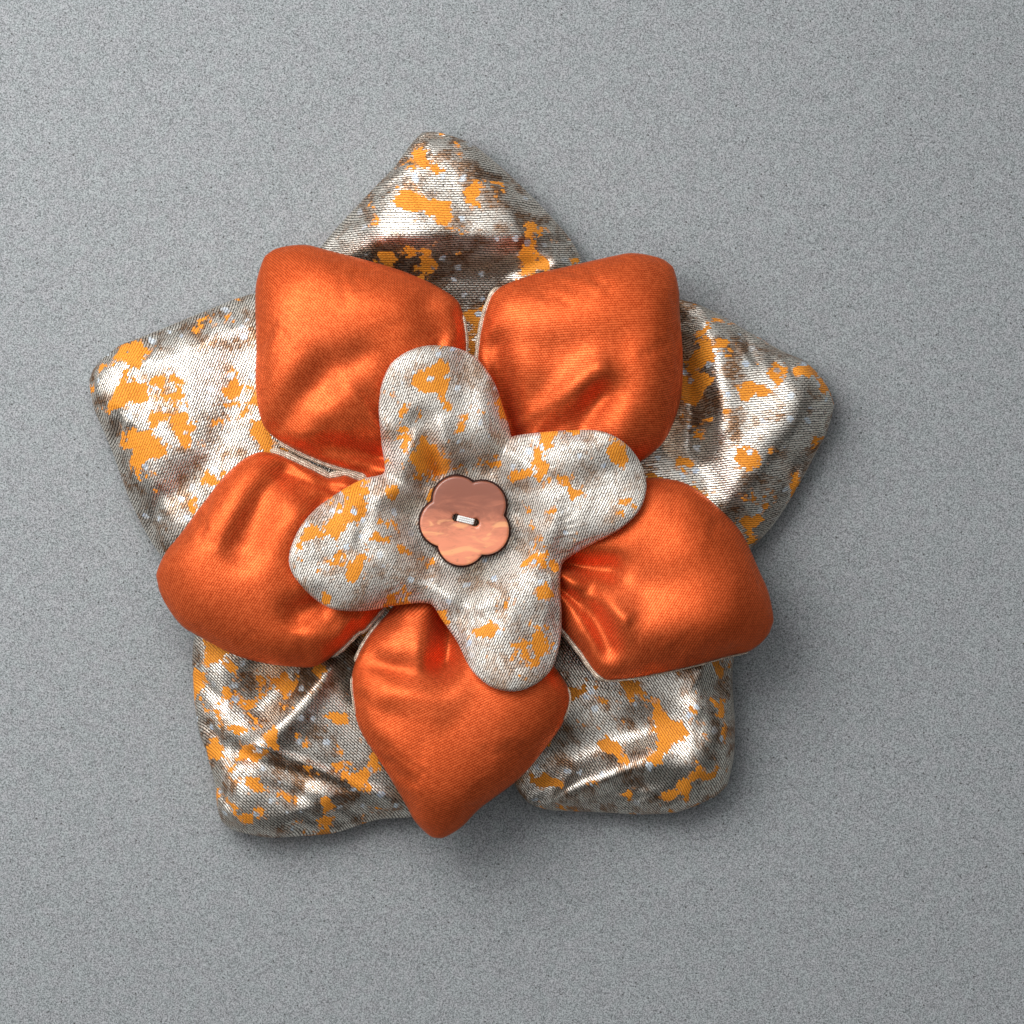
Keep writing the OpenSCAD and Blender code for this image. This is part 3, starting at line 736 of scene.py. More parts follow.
def dress(cover, lump, pucker, bead, seed, shown):
    """Adds what sewing and stuffing do to a top: soft lumps, puckers near the seam and a bead along it."""
    plan = cover.top[..., :2]
    edge = np.maximum(cover.edge, 0)
    around = (cover.angle * DEGREE_LENGTH)[None, :] if cover.closed else cover.along[:, None]
    run = np.stack([edge * PUCKER_RUN, np.broadcast_to(around, edge.shape)], axis=-1)
    inner = 1 - np.exp(-edge / LUMP_HOLD)
    wide, fine = LUMP_WIDTHS
    height = lump * inner * (soft_noise(plan, wide, seed) + FINE_LUMPS * soft_noise(plan, fine, seed + 1))
    side = np.sign(cover.top[..., 0] if cover.closed else cover.share) * SIDE_SHIFT
    run = run + side[..., None]
    wide, fine = PUCKER_WIDTHS
    ripple = soft_noise(run, fine, seed + 2) + WIDE_PUCKERS * soft_noise(run, wide, seed + 3)
    height += pucker * ripple * np.exp(-edge / PUCKER_FADE) * (1 - np.exp(-edge / PUCKER_HOLD))
    groove = GROOVE_SHARE * np.exp(-((edge - GROOVE_AT) / GROOVE_WIDTH) ** 2)
    height += bead * (np.exp(-((edge - BEAD_AT) / BEAD_WIDTH) ** 2) - groove)
    normal = grid_normals(cover.top, cover.closed)
    cover.top += normal * (height * shown)[..., None]


def make_cover(cover, place, materials):
    """A mesh object from a cover and its places on the cloth. A second material goes to the bottom."""
    points, upper, lower = cover_points(cover)
    faces, corners, sides = grid_faces(upper, lower, cover.closed)
    piece = new_piece(cover.name, (points + MIDDLE) * MM, faces, materials)
    polygons = piece.data.polygons
    polygons.foreach_set("use_smooth", [True] * len(faces))
    polygons.foreach_set("material_index", [side if len(materials) > 1 else 0 for side in sides])
    lay_cloth(piece, [
        place[p] + (0, 0, BACK_SHIFT * side) for side, way in zip(sides, corners) for p in way])
    return piece


# Shader nodes. A Mix node's sockets for its first value, its second and its result
MIX_SOCKETS = {"FLOAT": (2, 3, 0), "VECTOR": (4, 5, 1), "RGBA": (6, 7, 2)}


def fill(tree, made, values):
    """Gives values or links to a node's inputs."""
    for key, value in values.items():
        if isinstance(value, Signal):
            tree.links.new(value.socket, made.inputs[key])
        else:
            made.inputs[key].default_value = value


class Outputs:
    """The outputs of a shader node, by name or number."""

    def __init__(self, tree, made):
        self.tree, self.made = tree, made

    def __getitem__(self, key):
        return Signal(self.tree, self.made.outputs[key])


def add(tree, kind, values, **settings):
    """Adds a shader node with settings, and with values or links at its inputs."""
    made = tree.nodes.new("ShaderNode" + kind)
    for key, value in settings.items():
        setattr(made, key, value)
    fill(tree, made, values)
    return Outputs(tree, made)


def mix(tree, kind, share, first, second):
    a, b, result = MIX_SOCKETS[kind]
    return add(tree, "Mix", {0: share, a: first, b: second}, data_type=kind)[result]


class Signal:
    """A number, colour or place that one node hands to others. Sums of numbers are written plainly."""

    def __init__(self, tree, socket):
        self.tree, self.socket = tree, socket

    def math(self, operation, *others, clamp=False):
        values = dict(enumerate((self, *others)))
        return add(self.tree, "Math", values, operation=operation, use_clamp=clamp)[0]

    def __add__(self, other):
        return self.math("ADD", other)

    def __sub__(self, other):
        return self.math("SUBTRACT", other)

    def __rsub__(self, other):
        return add(self.tree, "Math", {0: other, 1: self}, operation="SUBTRACT")[0]

    def __mul__(self, other):
        return self.math("MULTIPLY", other)

    def __truediv__(self, other):
        return self.math("DIVIDE", other)

    def ramp(self, low, high):
        """0 below low and 1 above high, with a soft change between them."""
        return add(self.tree, "MapRange", {"Value": self, "From Min": low, "From Max": high},
                   interpolation_type="SMOOTHSTEP")["Result"]

    def colour(self, first, second):
        """The first colour at 0 and the second at 1."""
        return mix(self.tree, "RGBA", self, first, second)

    def level(self, first, second):
        """The first value at 0 and the second at 1."""
        return mix(self.tree, "FLOAT", self, first, second)

    def noise(self, scale, detail=2, roughness=0.5, distortion=0):
        return add(self.tree, "TexNoise", {
            "Vector": self, "Scale": scale, "Detail": detail, "Roughness": roughness,
            "Distortion": distortion})["Fac"]

    def mapped(self, turn=(0, 0, 0), stretch=(1, 1, 1)):
        """This place, turned and stretched."""
        return add(self.tree, "Mapping", {"Vector": self, "Rotation": turn, "Scale": stretch})[0]

    def parts(self):
        return add(self.tree, "SeparateXYZ", {"Vector": self})

    def spots(self, scale, spread, **settings):
        """Scattered spots: distance from the nearest one, and a chance of its own."""
        cells = add(self.tree, "TexVoronoi", {"Vector": self, "Scale": scale, "Randomness": spread},
                    feature="F1", **settings)
        return cells["Distance"], add(self.tree, "SeparateColor", {"Color": cells["Color"]})[0]


def new_group(name, inputs, outputs):
    """A node group, with its inputs as {name: (kind, start value)} and its outputs as {name: kind}."""
    tree = bpy.data.node_groups.new(name, "ShaderNodeTree")
    for label, (kind, start) in inputs.items():
        socket = tree.interface.new_socket(label, in_out="INPUT", socket_type="NodeSocket" + kind)
        if start is not None:
            socket.default_value = start
    for label, kind in outputs.items():
        tree.interface.new_socket(label, in_out="OUTPUT", socket_type="NodeSocket" + kind)
    return tree, Outputs(tree, tree.nodes.new("NodeGroupInput")), tree.nodes.new("NodeGroupOutput")


def weave_group():
    """Lines of thread with staggered floats. Place counts metres, and the lines run along x."""
    tree, given, result = new_group("thread_weave", {
        "Place": ("Vector", None), "Pitch": ("Float", 0.0004), "Float Length": ("Float", 0.0007),
        "Stagger": ("Float", 0.5), "Unevenness": ("Float", 0.1), "Beading": ("Float", 0.5),
    }, {"Height": "Float", "Gap": "Float", "Chance": "Float", "Thread": "Vector"})
    place, pitch, length = given["Place"], given["Pitch"], given["Float Length"]
    parts = place.parts()
    line = parts["Y"] / pitch + (place.noise(700, 3, 0.6) - 0.5) * given["Unevenness"]
    number = line.math("FLOOR")
    shift = number * given["Stagger"]
    along = parts["X"] / length + shift
    dash = along.math("FLOOR")
    hump = ((line - number) * math.pi).math("SINE")
    swell = ((along - dash) * math.pi).math("SINE")
    cell = add(tree, "CombineXYZ", {"X": dash, "Y": number, "Z": parts["Z"]})[0]
    chance = add(tree, "TexWhiteNoise", {"Vector": cell}, noise_dimensions="3D")["Value"]
    height = hump * (given["Beading"] * chance.ramp(0, 0.4)).level(1, swell)
    grain = place.mapped((0.4, 0.7, 0.5)).noise(4600, 2, 0.7)
    middle = {"X": (dash - shift + 0.5) * length, "Y": (number + 0.5) * pitch, "Z": parts["Z"]}
    fill(tree, result, {
        "Height": height, "Gap": 1 - (height + (grain - 0.5) * 1.7).ramp(0.30, 0.64),
        "Chance": chance, "Thread": add(tree, "CombineXYZ", middle)[0]})
    return tree


def foil_group():
    """The cloth's abstract pattern, thread by thread: bare patches, mottled foil and small cool flecks."""
    tree, given, result = new_group("foil_pattern", {
        "Thread": ("Vector", None), "Chance": ("Float", 0.5), "Patch Level": ("Float", 0.6),
    }, {"Patch": "Float", "Brown": "Float", "Fleck": "Float"})
    thread, chance = given["Thread"], given["Chance"]
    edge = (thread.noise(1300, 2, 0.6) - 0.5) * 0.09
    wide = (thread.noise(60, 1) - 0.5) * 0.34
    level = thread.noise(215, 4, 0.5, 0.2) + edge + ((chance - 0.5) * 0.03 + wide)
    over = level - given["Patch Level"]
    speckle = over.ramp(-0.05, -0.01) * chance.ramp(0.78, 0.82) * 0.6
    zone = thread.noise(210, 4, 0.6, 0.4).ramp(0.44, 0.66)
    distance, kept = thread.spots(300, 0.95)
    core = 1 - (distance + edge * 2.8).ramp(0.15, 0.22)
    fill(tree, result, {
        "Patch": over.ramp(-0.006, 0.006).math("MAXIMUM", speckle),
        "Brown": (zone * (chance * 0.5 + 0.6)).math("ADD", chance * 0.22, clamp=True),
        "Fleck": core * kept.ramp(0.10, 0.40)})
    return tree


def use_group(tree, group, values):
    made = add(tree, "Group", {}, node_tree=group)
    fill(tree, made.made, values)
    return made


WEAVE = weave_group()
FOIL = foil_group()


def weave(tree, place, pitch, length, stagger, unevenness, beading):
    return use_group(tree, WEAVE, {
        "Place": place, "Pitch": pitch, "Float Length": length, "Stagger": stagger,
        "Unevenness": unevenness, "Beading": beading})


def new_material(name):
    material = bpy.data.materials.new(name)
    material.use_nodes = True
    return material, material.node_tree


def cloth_place(tree):
    return add(tree, "Attribute", {}, attribute_name="cloth_place", attribute_type="GEOMETRY")["Vector"]


def object_place(tree):
    return add(tree, "TexCoord", {})["Object"]


def finish(material, strength, distance, height, values):
    """Gives the material's shader its values or links, and a bump from height."""
    tree = material.node_tree
    shader = next(n for n in tree.nodes if n.type == "BSDF_PRINCIPLED")
    bump = add(tree, "Bump", {"Strength": strength, "Distance": distance, "Height": height})
    fill(tree, shader, {**values, "Normal": bump["Normal"]})
    return material


def brocade_material(name, patch_level, metal, roughness, pale, brown):
    """Silver foil brocade with flat orange patches."""
    material, tree = new_material(name)
    place = cloth_place(tree)
    threads = weave(tree, place, 0.00041, 0.00078, 0.41, 0.65, 0.50)
    chance, gap = threads["Chance"], threads["Gap"]
    foil = use_group(tree, FOIL, {
        "Thread": mix(tree, "VECTOR", 0.5, place, threads["Thread"]), "Chance": chance,
        "Patch Level": patch_level})
    fleck = foil["Fleck"]
    cool = chance.ramp(0.1, 0.4).colour((0.62, 0.70, 0.82, 1), (0.90, 0.96, 1.0, 1))
    silver = fleck.colour(foil["Brown"].colour(pale, brown), cool)
    silver = (gap * fleck.level(0.94, 0.65)).colour(silver, (0.034, 0.020, 0.013, 1))
    orange = (gap * 0.75).colour((0.98, 0.37, 0.040, 1), (0.36, 0.085, 0.006, 1))
    bare = foil["Patch"] * (1 - fleck)
    return finish(material, 0.5, 0.0001, threads["Height"], {
        "Base Color": bare.colour(silver, orange),
        "Metallic": (1 - bare.math("MAXIMUM", fleck * 0.45)) * metal,
        "Roughness": bare.level(chance.level(roughness, roughness + 0.12), 0.60),
        "Specular IOR Level": 0.2, "Sheen Weight": 0.05, "Sheen Roughness": 0.4,
        "Sheen Tint": (1.0, 0.93, 0.84, 1)})


def edge_material():
    """The brocade's turned edge: partly the turned cloth's own pale tone, partly painted light, made paler
    and less metallic than the brocade so that the thin edge does not go dark in shade.
    """
    material, tree = new_material("lit_brocade_edge")
    threads = weave(tree, cloth_place(tree), 0.00036, 0.00032, 0.4, 0.6, 1)
    # Pale thread colours lighter than the brocade's: partly the edge's own tone, partly painted light.
    pale = (threads["Chance"] * 0.4).colour((1.0, 0.86, 0.68, 1), (0.56, 0.38, 0.24, 1))
    return finish(material, 0.6, 0.0001, threads["Height"], {
        "Base Color": (threads["Gap"] * 0.85).colour(pale, (0.12, 0.065, 0.035, 1)),
        "Metallic": 0.1, "Roughness": 0.5})


def satin_material():
    """Glossy orange satin with a fine diagonal twill."""
    material, tree = new_material("orange_satin")
    place = cloth_place(tree)
    threads = weave(tree, place, 0.00041, 0.00056, 0.37, 0.25, 0.6)
    cloud = place.noise(40, 1).ramp(0.3, 0.7)
    line = (threads["Gap"] * 0.66).math("ADD", threads["Chance"] * 0.26, clamp=True)
    colour = cloud.colour((0.84, 0.150, 0.040, 1), (0.90, 0.170, 0.050, 1))
    return finish(material, 0.35, 0.00006, threads["Height"], {
        "Base Color": line.colour(colour, (0.38, 0.035, 0.005, 1)),
        "Roughness": place.noise(300) * 0.08 + 0.37,
        "Metallic": 0.52, "Specular IOR Level": 0.12, "Specular Tint": (1.0, 0.62, 0.42, 1),
        "Sheen Weight": 0.06, "Sheen Roughness": 0.5, "Sheen Tint": (1.0, 0.5, 0.3, 1)})


def shell_material():
    """Polished salmon shell with flowing bands."""
    material, tree = new_material("polished_shell")
    place = object_place(tree)
    stretched = place.mapped((0, 0, -0.12), (0.8, 2.4, 1))
    flow = stretched.noise(150, 5, 0.6, 1.8)
    down = 1 - place.parts()["Y"].ramp((MIDDLE[1] - 6) * MM, (MIDDLE[1] + 6) * MM)
    mixed = (down * 0.55 + flow * 0.65).ramp(0.32, 0.88)
    colour = mixed.colour((0.29, 0.088, 0.048, 1), (0.86, 0.285, 0.150, 1))
    streak = stretched.noise(230, 3, 0.5, 1.2).ramp(0.50, 0.66)
    gold = streak * down.ramp(0.35, 0.62) * 0.8
    vein = stretched.noise(330, 4, 0.6, 2).ramp(0.60, 0.70) * 0.45
    colour = vein.colour(gold.colour(colour, (0.95, 0.44, 0.19, 1)), (0.28, 0.10, 0.05, 1))
    return finish(material, 0.15, 0.0001, flow, {
        "Base Color": colour, "Roughness": flow * 0.2 + 0.22,
        "Coat Weight": 0.5, "Coat Roughness": 0.08})


def shell_back_material():
    """The shell's dark natural back, which shows as its rim."""
    material, tree = new_material("shell_back")
    grain = object_place(tree).noise(900, 4, 0.6)
    return finish(material, 0.3, 0.0001, grain, {
        "Base Color": grain.colour((0.016, 0.006, 0.005, 1), (0.07, 0.024, 0.016, 1)),
        "Roughness": grain.level(0.6, 0.8), "Specular IOR Level": 0.15})


def thread_material():
    """White sewing cotton."""
    material, tree = new_material("white_cotton")
    fuzz = object_place(tree).noise(9000, 3, 0.7)
    return finish(material, 0.4, 0.00005, fuzz, {
        "Base Color": fuzz.colour((0.74, 0.72, 0.68, 1), (0.95, 0.94, 0.92, 1)),
        "Roughness": fuzz.level(0.6, 0.85), "Sheen Weight": 0.3})


def pin_material():
    """Nickel plated steel with faint drawing lines and dull patches."""
    material, tree = new_material("nickel_steel")
    place = object_place(tree)
    lines = place.mapped(stretch=(0.06, 1, 1)).noise(6000, 3, 0.6)
    dull = place.noise(260, 4, 0.6).ramp(0.42, 0.7)
    return finish(material, 0.12, 0.00005, lines, {
        "Base Color": dull.colour((0.72, 0.71, 0.69, 1), (0.46, 0.44, 0.41, 1)),
        "Metallic": 1, "Roughness": lines * 0.18 + dull * 0.14 + 0.14})


def paper_material():
    """Plain pale paper with a fine grain."""
    material, tree = new_material("pale_paper")
    place = object_place(tree)
    turned = place.mapped((0.5, 0.6, 0.4))
    grain = turned.noise(4000, 3, 0.8)
    mixed = (grain * 0.86 + turned.noise(1300, 3, 0.6, 1.5) * 0.14).ramp(0.35, 0.65)
    colour = mixed.colour((0.115, 0.124, 0.126, 1), (0.49, 0.51, 0.515, 1))
    tint = turned.noise(420).ramp(0.35, 0.65).colour((1.0, 0.975, 0.985, 1), (0.975, 0.99, 0.985, 1))
    colour = add(tree, "Mix", {0: 1, 6: colour, 7: tint}, data_type="RGBA", blend_type="MULTIPLY")[2]
    pale = turned.noise(2600, 2, 0.6).ramp(0.70, 0.80) * 0.6
    colour = pale.colour(colour, (0.68, 0.70, 0.70, 1))
    distance, chance = place.spots(460, 1, voronoi_dimensions="2D")
    dark = 1 - (distance - chance.ramp(0.50, 1) * 0.075).ramp(-0.02, 0.015)
    hair = turned.mapped(stretch=(0.25, 1, 1)).noise(2600, 2, 0.5, 1.5).ramp(0.70, 0.78)
    marks = (dark * 0.85).math("MAXIMUM", hair * 0.6)
    return finish(material, 0.5, 0.00006, grain, {
        "Base Color": marks.colour(colour, (0.055, 0.05, 0.047, 1)),
        "Roughness": 0.9, "Specular IOR Level": 0.2})


BROCADE = brocade_material("foil_brocade", 0.592, 0.94, 0.34, (1.0, 0.95, 0.85, 1), (0.44, 0.25, 0.14, 1))
# The top flower's brocade is the base's cloth with a lighter brown and less metal: a lit copy, whose lighter
# colours are painted light.
TOP_BROCADE = brocade_material(
    "lit_copy_foil_brocade", 0.580, 0.45, 0.44, (1.0, 0.95, 0.86, 1), (0.66, 0.47, 0.34, 1))
SATIN_CLOTH = satin_material()
EDGE_CLOTH = edge_material()


# What dressing adds to each kind of cover: lumps, puckers and seam bead, in millimetres
DRESSING = {"base": (0.15, 0.11, 0.03), "satin": (0.015, 0.05, 0.05), "top": (0.06, 0.09, 0.04)}
# How far from the middle the top flower starts to give under the simulation, and over how far it grows
GIVE_START, GIVE_STEP = 8.5, 3


def build_covers():
    """Makes every padded piece: shaped, settled by the simulation, dressed and put in place."""
    jobs = [("base", BASE, BASE_WEAVE, i, "base_petal_" + name) for i, name in enumerate(BASE_NAMES)]
    jobs += [("satin", SATIN, SATIN_WEAVE, i, "satin_petal_" + name) for i, name in enumerate(SATIN_NAMES)]
    moves = [None] * (len(jobs) + 1)
    rough = [petal_cover(ring, i, name, SIM_ALONG, SIM_ACROSS, False) for _, ring, _, i, name in jobs]
    moves = simulate(rough + [top_flower_cover(SIM_OUT, SIM_ROUND, False)])
    for number, (kind, ring, weaves, i, node) in enumerate(jobs):
        size = (ring, i, node + "_cover", FINE_ALONG, FINE_ACROSS)
        cover = petal_cover(*size, True)
        shown = 1 - covered(cover.top[..., :2], [SATIN] if kind == "base" else [], True)
        if moves[number] is not None:
            settle(cover, moves[number], SETTLED[kind], shown)
        dress(cover, *DRESSING[kind], 100 + number * 10, shown)
        cover.bottom[..., 2] = np.maximum(cover.bottom[..., 2], 0)
        place = cloth_places(petal_cover(*size, False), ring.axes[i], weaves[i], number + 1)
        if kind == "base":
            hand_in(make_cover(cover, place, [BROCADE]), node)
            continue
        hand_in(make_cover(cover, place, [SATIN_CLOTH, BROCADE]), node)
        for petal, *roll in EDGE_ROLLS:
            if petal == i:
                build_edge_roll(cover, node, *roll)
    cover = top_flower_cover(FINE_OUT, FINE_ROUND, True)
    shown = np.ones(cover.edge.shape)
    if moves[-1] is not None:
        shown = smooth_step((np.linalg.norm(cover.top[..., :2], axis=-1) - GIVE_START) / GIVE_STEP)
        settle(cover, moves[-1], SETTLED["top"], shown)
    dress(cover, *DRESSING["top"], 300, shown)
    plain = top_flower_cover(FINE_OUT, FINE_ROUND, False)
    place = cloth_places(plain, 0, TOP_WEAVE, len(jobs) + 1)
    hand_in(make_cover(cover, place, [TOP_BROCADE]), "top_flower")


def ring_faces(rings, sides, start=0):
    """Faces of a tube with closed ends, through rings of points that are numbered from start."""
    faces = []
    for r in range(start, start + (rings - 1) * sides, sides):
        for k in range(sides):
            after = (k + 1) % sides
            faces.append([r + k, r + after, r + sides + after, r + sides + k])
    last = start + (rings - 1) * sides
    return faces + [list(range(start, start + sides))[::-1], list(range(last, last + sides))]


def tube_piece(name, points, faces, material):
    """A tube's object, with its sides smooth and its ends flat."""
    piece = new_piece(name, (points + MIDDLE) * MM, faces, [material])
    piece.data.polygons.foreach_set("use_smooth", [len(f) == 4 for f in faces])
    return piece


def unit(steps):
    return steps / np.linalg.norm(steps, axis=1, keepdims=True)


EDGE_SIDES = 14
# How much further in than the edge its height is taken, its lift and the length of its tapered ends, both
# for a radius of one, and how far the taper closes it
EDGE_INSIDE, EDGE_LIFT, EDGE_TAPER, EDGE_CLOSED = 0.12, 0.2, 2.5, 0.98


def build_edge_roll(cover, node, side, first, last, radius, inward):
    """A length of the back's brocade that is rolled up over the seam, as a thin edge with blunt ends."""
    rows = [s for s in range(len(cover.along)) if first <= cover.along[s] <= last]
    seam = cover.top[rows, -1 if side > 0 else 0]
    ahead = unit(np.gradient(seam, axis=0) * (1, 1, 0))
    out = np.stack([-ahead[:, 1], ahead[:, 0], np.zeros(len(rows))], axis=-1) * side
    # The edge lies on the shoulder of the cover
    shoulder = []
    for s in rows:
        order = cover.top[s][::-1] if side > 0 else cover.top[s]
        gone = np.linalg.norm(order[:, :2] - order[0, :2], axis=1)
        shoulder.append([np.interp(inward + EDGE_INSIDE, gone, order[:, 2])])
    core = seam - out * inward
    core[:, 2:] = np.array(shoulder) + EDGE_LIFT * radius
    length = run_length(core)
    ends = np.clip(np.minimum(length, length[-1] - length) / (EDGE_TAPER * radius), 0, 1)
    wobble = 1 + 0.10 * np.sin(length * 2.1 + radius * 40) + 0.06 * np.sin(length * 5.3)
    thick = radius * np.sqrt(1 - (1 - ends) ** 2 * EDGE_CLOSED) * wobble
    core[:, 2] -= (1 - ends) * radius
    turn = angle_steps(EDGE_SIDES)
    up = np.array([0.0, 0.0, 1.0])
    rings = core[:, None] + thick[:, None, None] * (
        np.cos(turn)[None, :, None] * out[:, None] + np.sin(turn)[None, :, None] * up)
    faces = ring_faces(len(rows), EDGE_SIDES)
    piece = tube_piece(node + "_edge", rings.reshape(-1, 3), faces, EDGE_CLOTH)
    lay_cloth(piece, [
        (length[v // EDGE_SIDES] * MM, turn[v % EDGE_SIDES] * radius * MM, EDGE_SHIFT + first * EDGE_STEP)
        for face in faces for v in face])
    hand_in(piece)


# Button
BUTTON_SEAT = 17.4
BUTTON_REACH = 8.3
LOBE_RADIUS = 4.5
BUTTON_THICKNESS = 2.0
BACK_HEIGHT = 0.9
FACE_INSET = 0.35
BUTTON_TURN = 43
BUTTON_LOBES = 5
HOLE_WIDTH = 1.3
HOLE_SPACING = 3.4
HOLE_TURN = -14
BUTTON_STEPS = 240
BORE_SIDES = 40
CREASE_ANGLE = 40
# Inset where the face turns level. Shares of the outline count from there.
LEVEL_INSET = 0.8


def lobed_rim(inset):
    """Distance of the button's lobed outline from its middle, all the way round."""
    offset, radius = BUTTON_REACH - LOBE_RADIUS, LOBE_RADIUS - inset
    spans = []
    for k in range(BUTTON_LOBES):
        turn = angle_steps(BUTTON_STEPS) - math.radians(BUTTON_TURN + 360 * k / BUTTON_LOBES)
        inside = np.maximum(radius ** 2 - (offset * np.sin(turn)) ** 2, 0)
        spans.append(offset * np.cos(turn) + np.sqrt(inside))
    return np.max(spans, axis=0)


def turned_piece(name, centre, rims, heights):
    """A closed form through rings of points, from each ring's distances from the centre and its height."""
    rings = []
    for rim, height in zip(rims, heights):
        angle = angle_steps(len(rim))
        rings.append(np.stack([
            centre[0] + rim * np.cos(angle), centre[1] + rim * np.sin(angle),
            np.full(len(rim), height)], axis=-1) * MM)
    count = len(rings[0])
    points = [rings[0].mean(axis=0), *np.concatenate(rings), rings[-1].mean(axis=0)]
    last = len(points) - 1
    faces = []
    for k in range(count):
        after = (k + 1) % count
        faces.append([0, 1 + after, 1 + k])
        for low in range(1, 1 + (len(rings) - 1) * count, count):
            faces.append([low + k, low + after, low + count + after, low + count + k])
        faces.append([last, last - count + k, last - count + after])
    return new_piece(name, points, faces)


def hole_places():
    turn = math.radians(HOLE_TURN)
    way = np.array([math.cos(turn), math.sin(turn)]) * HOLE_SPACING / 2
    return [MIDDLE[:2] - way, MIDDLE[:2] + way]


def build_button():
    """The button: a dark back that shows all round, a polished face, and two holes with eased edges."""
    # Inset from the outline, or with a minus a share of the way out, and height above the seat
    profile = [
        (-0.4, 0.0), (-0.8, 0.0), (0.45, 0.0), (0.2, 0.03), (0.06, 0.12), (0.0, 0.28), (0.0, 0.62),
        (0.05, 0.78), (0.16, 0.88), (0.30, BACK_HEIGHT), (0.37, BACK_HEIGHT + 0.03),
        (FACE_INSET, 1.02), (FACE_INSET, 1.66), (0.38, 1.80), (0.46, 1.91), (0.60, 1.98),
        (LEVEL_INSET, BUTTON_THICKNESS), (-0.8, 1.985), (-0.6, 1.96), (-0.4, 1.93), (-0.2, 1.92),
    ]
    rims = [-inset * lobed_rim(LEVEL_INSET) if inset < 0 else lobed_rim(inset) for inset, _ in profile]
    body = turned_piece("shell_button", MIDDLE, rims, [BUTTON_SEAT + z for _, z in profile])
    for material in (SHELL, SHELL_BACK):
        body.data.materials.append(material)
    split = (BUTTON_SEAT + BACK_HEIGHT + 0.02) * MM
    for face in body.data.polygons:
        face.material_index = 1 if face.center.z < split else 0
    # Bore of a hole: how much wider it is than its middle, height
    top = BUTTON_SEAT + BUTTON_THICKNESS
    bore = [
        (0.5, BUTTON_SEAT - 0.6), (0.25, BUTTON_SEAT), (0.06, BUTTON_SEAT + 0.12),
        (0.0, BUTTON_SEAT + 0.3), (0.0, top - 0.42), (0.05, top - 0.26),
        (0.14, top - 0.15), (0.3, top - 0.06), (0.75, top + 0.5),
    ]
    rims = [np.full(BORE_SIDES, HOLE_WIDTH / 2 + wider) for wider, _ in bore]
    for centre in hole_places():
        cutter = turned_piece("cutter", centre, rims, [z for _, z in bore])
        cut = body.modifiers.new("hole", "BOOLEAN")
        cut.operation = "DIFFERENCE"
        cut.solver = "EXACT"
        cut.object = cutter
        graph = bpy.context.evaluated_depsgraph_get()
        drilled = bpy.data.meshes.new_from_object(body.evaluated_get(graph))
        body.modifiers.clear()
        body.data = drilled
        bpy.data.objects.remove(cutter)
    body.data.name = "shell_button"
    shade_by_angle(body.data, CREASE_ANGLE)
    hand_in(body, "button")


def shade_by_angle(mesh, degrees):
    """Smooth shading, with edges sharper than the angle left crisp."""
    net = bmesh.new()
    net.from_mesh(mesh)
    for face in net.faces:
        face.smooth = True
    for edge in net.edges:
        edge.smooth = len(edge.link_faces) != 2 or edge.calc_face_angle(0) < math.radians(degrees)
    net.to_mesh(mesh)
    net.free()


# Stitch of the button: strands side by side, each of two twisted plies
STRANDS = 3
STRAND_WIDTH = 0.36
PLY_RADIUS = 0.105
PLY_OFFSET = 0.085
PLY_SIDES = 10
TWIST_LENGTH = 0.75
STITCH_STEPS = 90
# How far each strand is drawn from the middle of its hole towards the other hole, and how sharply it bends
STITCH_PULL, STITCH_BEND = 0.32, 5.0
# Its ends above the seat, its crest above the face, and how much more the middle strand's crest rises
STITCH_FOOT, STITCH_CREST, MIDDLE_LIFT = 0.1, 0.32, 0.05
# Shares of each half: how much of it is nearly level, and how much narrower it is at its end.
# Steepness of its fall, and its sag
STITCH_LEVEL, STITCH_NARROW = 0.38, 0.35
STITCH_STEEP, STITCH_SAG = 1.7, 0.12
ACROSS = np.array([0.0, 1.0, 0.0])


def stitch_route(spread, lift):
    """The way of one strand: up through one hole, over the face and down through the other."""
    half = HOLE_SPACING / 2 - STITCH_PULL
    foot = BUTTON_SEAT + STITCH_FOOT
    crest = BUTTON_SEAT + BUTTON_THICKNESS + STITCH_CREST + lift
    t = np.linspace(-1, 1, STITCH_STEPS)
    x = half * np.sign(t) * (1 - (1 - np.abs(t)) ** STITCH_BEND)
    fall = np.clip((np.abs(t) - STITCH_LEVEL) / (1 - STITCH_LEVEL), 0, 1) ** STITCH_STEEP
    z = crest - (crest - foot) * fall - STITCH_SAG * np.abs(t)
    return np.stack([x, spread * (1 - STITCH_NARROW * t ** 2), z], axis=-1)


def build_thread():
    """The stitch through the button's holes."""
    turn = math.radians(HOLE_TURN)
    spin = np.array([[math.cos(turn), -math.sin(turn), 0], [math.sin(turn), math.cos(turn), 0], [0, 0, 1]])
    angle = angle_steps(PLY_SIDES)
    round_way = np.cos(angle)[:, None], np.sin(angle)[:, None]
    rings, faces = [], []
    for strand in range(STRANDS):
        spread = (strand - (STRANDS - 1) / 2) * STRAND_WIDTH
        core = stitch_route(spread, MIDDLE_LIFT if strand == 1 else 0)
        up = np.cross(unit(np.gradient(core, axis=0)), ACROSS)
        for ply in (0, 1):
            phase = (2 * np.pi * run_length(core) / TWIST_LENGTH + math.pi * ply + strand)[:, None]
            route = core + PLY_OFFSET * (np.cos(phase) * ACROSS + np.sin(phase) * up)
            ahead = unit(np.gradient(route, axis=0))
            side = unit(ACROSS - ahead * ahead[:, 1:2])
            faces += ring_faces(STITCH_STEPS, PLY_SIDES, len(rings) * PLY_SIDES)
            for p, a, b in zip(route, side, np.cross(ahead, side)):
                rings.append((p + PLY_RADIUS * (round_way[0] * a + round_way[1] * b)) @ spin.T)
    piece = tube_piece("button_stitch", np.concatenate(rings), faces, thread_material())
    hand_in(piece, "button_thread")


def finish_pin():
    """Gives the pin back of the part its plated finish."""
    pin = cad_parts["pin_back"]
    pin.data.materials.clear()
    pin.data.materials.append(pin_material())


FLOOR_REACH = 8.0


def build_floor():
    corners = [(FLOOR_REACH * x, FLOOR_REACH * y, 0) for x, y in ((-1, -1), (1, -1), (1, 1), (-1, 1))]
    new_piece("floor", corners, [(0, 1, 2, 3)], [paper_material()])


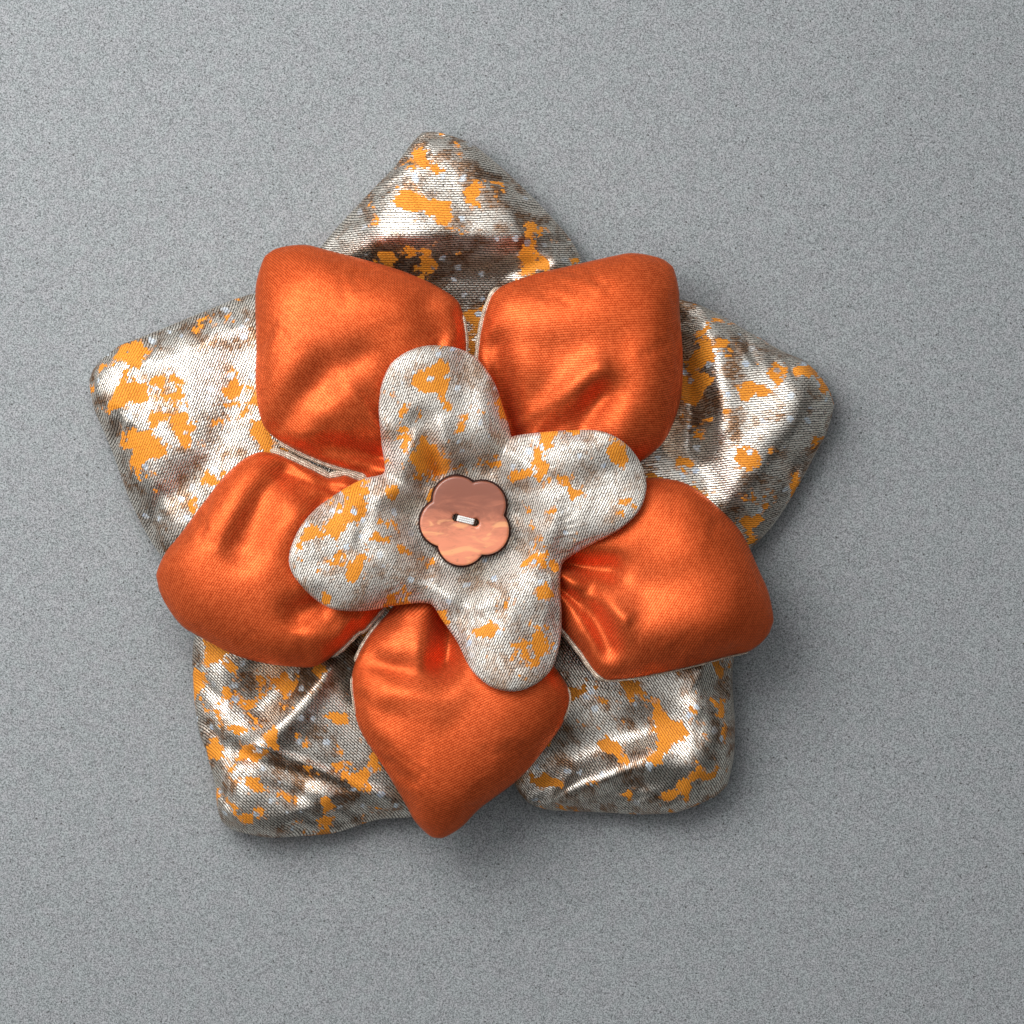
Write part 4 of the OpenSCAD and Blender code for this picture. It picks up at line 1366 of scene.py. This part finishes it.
def soft_light(name, azimuth, elevation, distance, size, power):
    """A square soft light that faces the flower from a direction, anticlockwise from the right."""
    data = bpy.data.lights.new(name, "AREA")
    data.shape = "SQUARE"
    data.size = size
    data.energy = power
    light = link(bpy.data.objects.new(name, data))
    a, e = math.radians(azimuth), math.radians(elevation)
    light.location = Vector((math.cos(a) * math.cos(e), math.sin(a) * math.cos(e), math.sin(e))) * distance
    light.rotation_euler = light.location.to_track_quat("Z", "Y").to_euler()
    light.visible_camera = False


# Direction that the room is brightest in
BRIGHT_WAY = (-0.42, 0.56, 0.715)


def build_lights():
    """A dim room that is brighter overhead, a large soft key light and a weak side light."""
    world = bpy.data.worlds.new("studio")
    bpy.context.scene.world = world
    world.use_nodes = True
    tree = world.node_tree
    sky = add(tree, "TexCoord", {})["Generated"]
    way = add(tree, "VectorMath", {0: sky, 1: BRIGHT_WAY}, operation="DOT_PRODUCT")["Value"]
    shade = way.ramp(0.12, 0.82).colour((0.026, 0.027, 0.028, 1), (0.80, 0.815, 0.84, 1))
    fill(tree, tree.nodes["Background"], {"Color": shade})
    soft_light("key", 130, 54, 0.385, 0.24, 1.06)
    soft_light("side", 165, 40, 0.36, 0.22, 0.30)
    bpy.context.scene.view_settings.view_transform = "Standard"


# The photograph looks straight down. Its frame is this wide on the floor, and its middle lies here
# from the button's.
FRAME_WIDTH = 178.2
FRAME_MIDDLE = (8.0, 1.4)
CAMERA_HEIGHT = 4.0


def build_camera():
    data = bpy.data.cameras.new("camera")
    data.angle = 2 * math.atan(FRAME_WIDTH * MM / 2 / CAMERA_HEIGHT)
    data.clip_end = 100
    camera = link(bpy.data.objects.new("camera", data))
    camera.location = (
        (MIDDLE[0] + FRAME_MIDDLE[0]) * MM, (MIDDLE[1] + FRAME_MIDDLE[1]) * MM, CAMERA_HEIGHT)
    bpy.context.scene.camera = camera


build_camera()
SHELL = shell_material()
SHELL_BACK = shell_back_material()
build_covers()
build_button()
build_thread()
finish_pin()
build_floor()
build_lights()
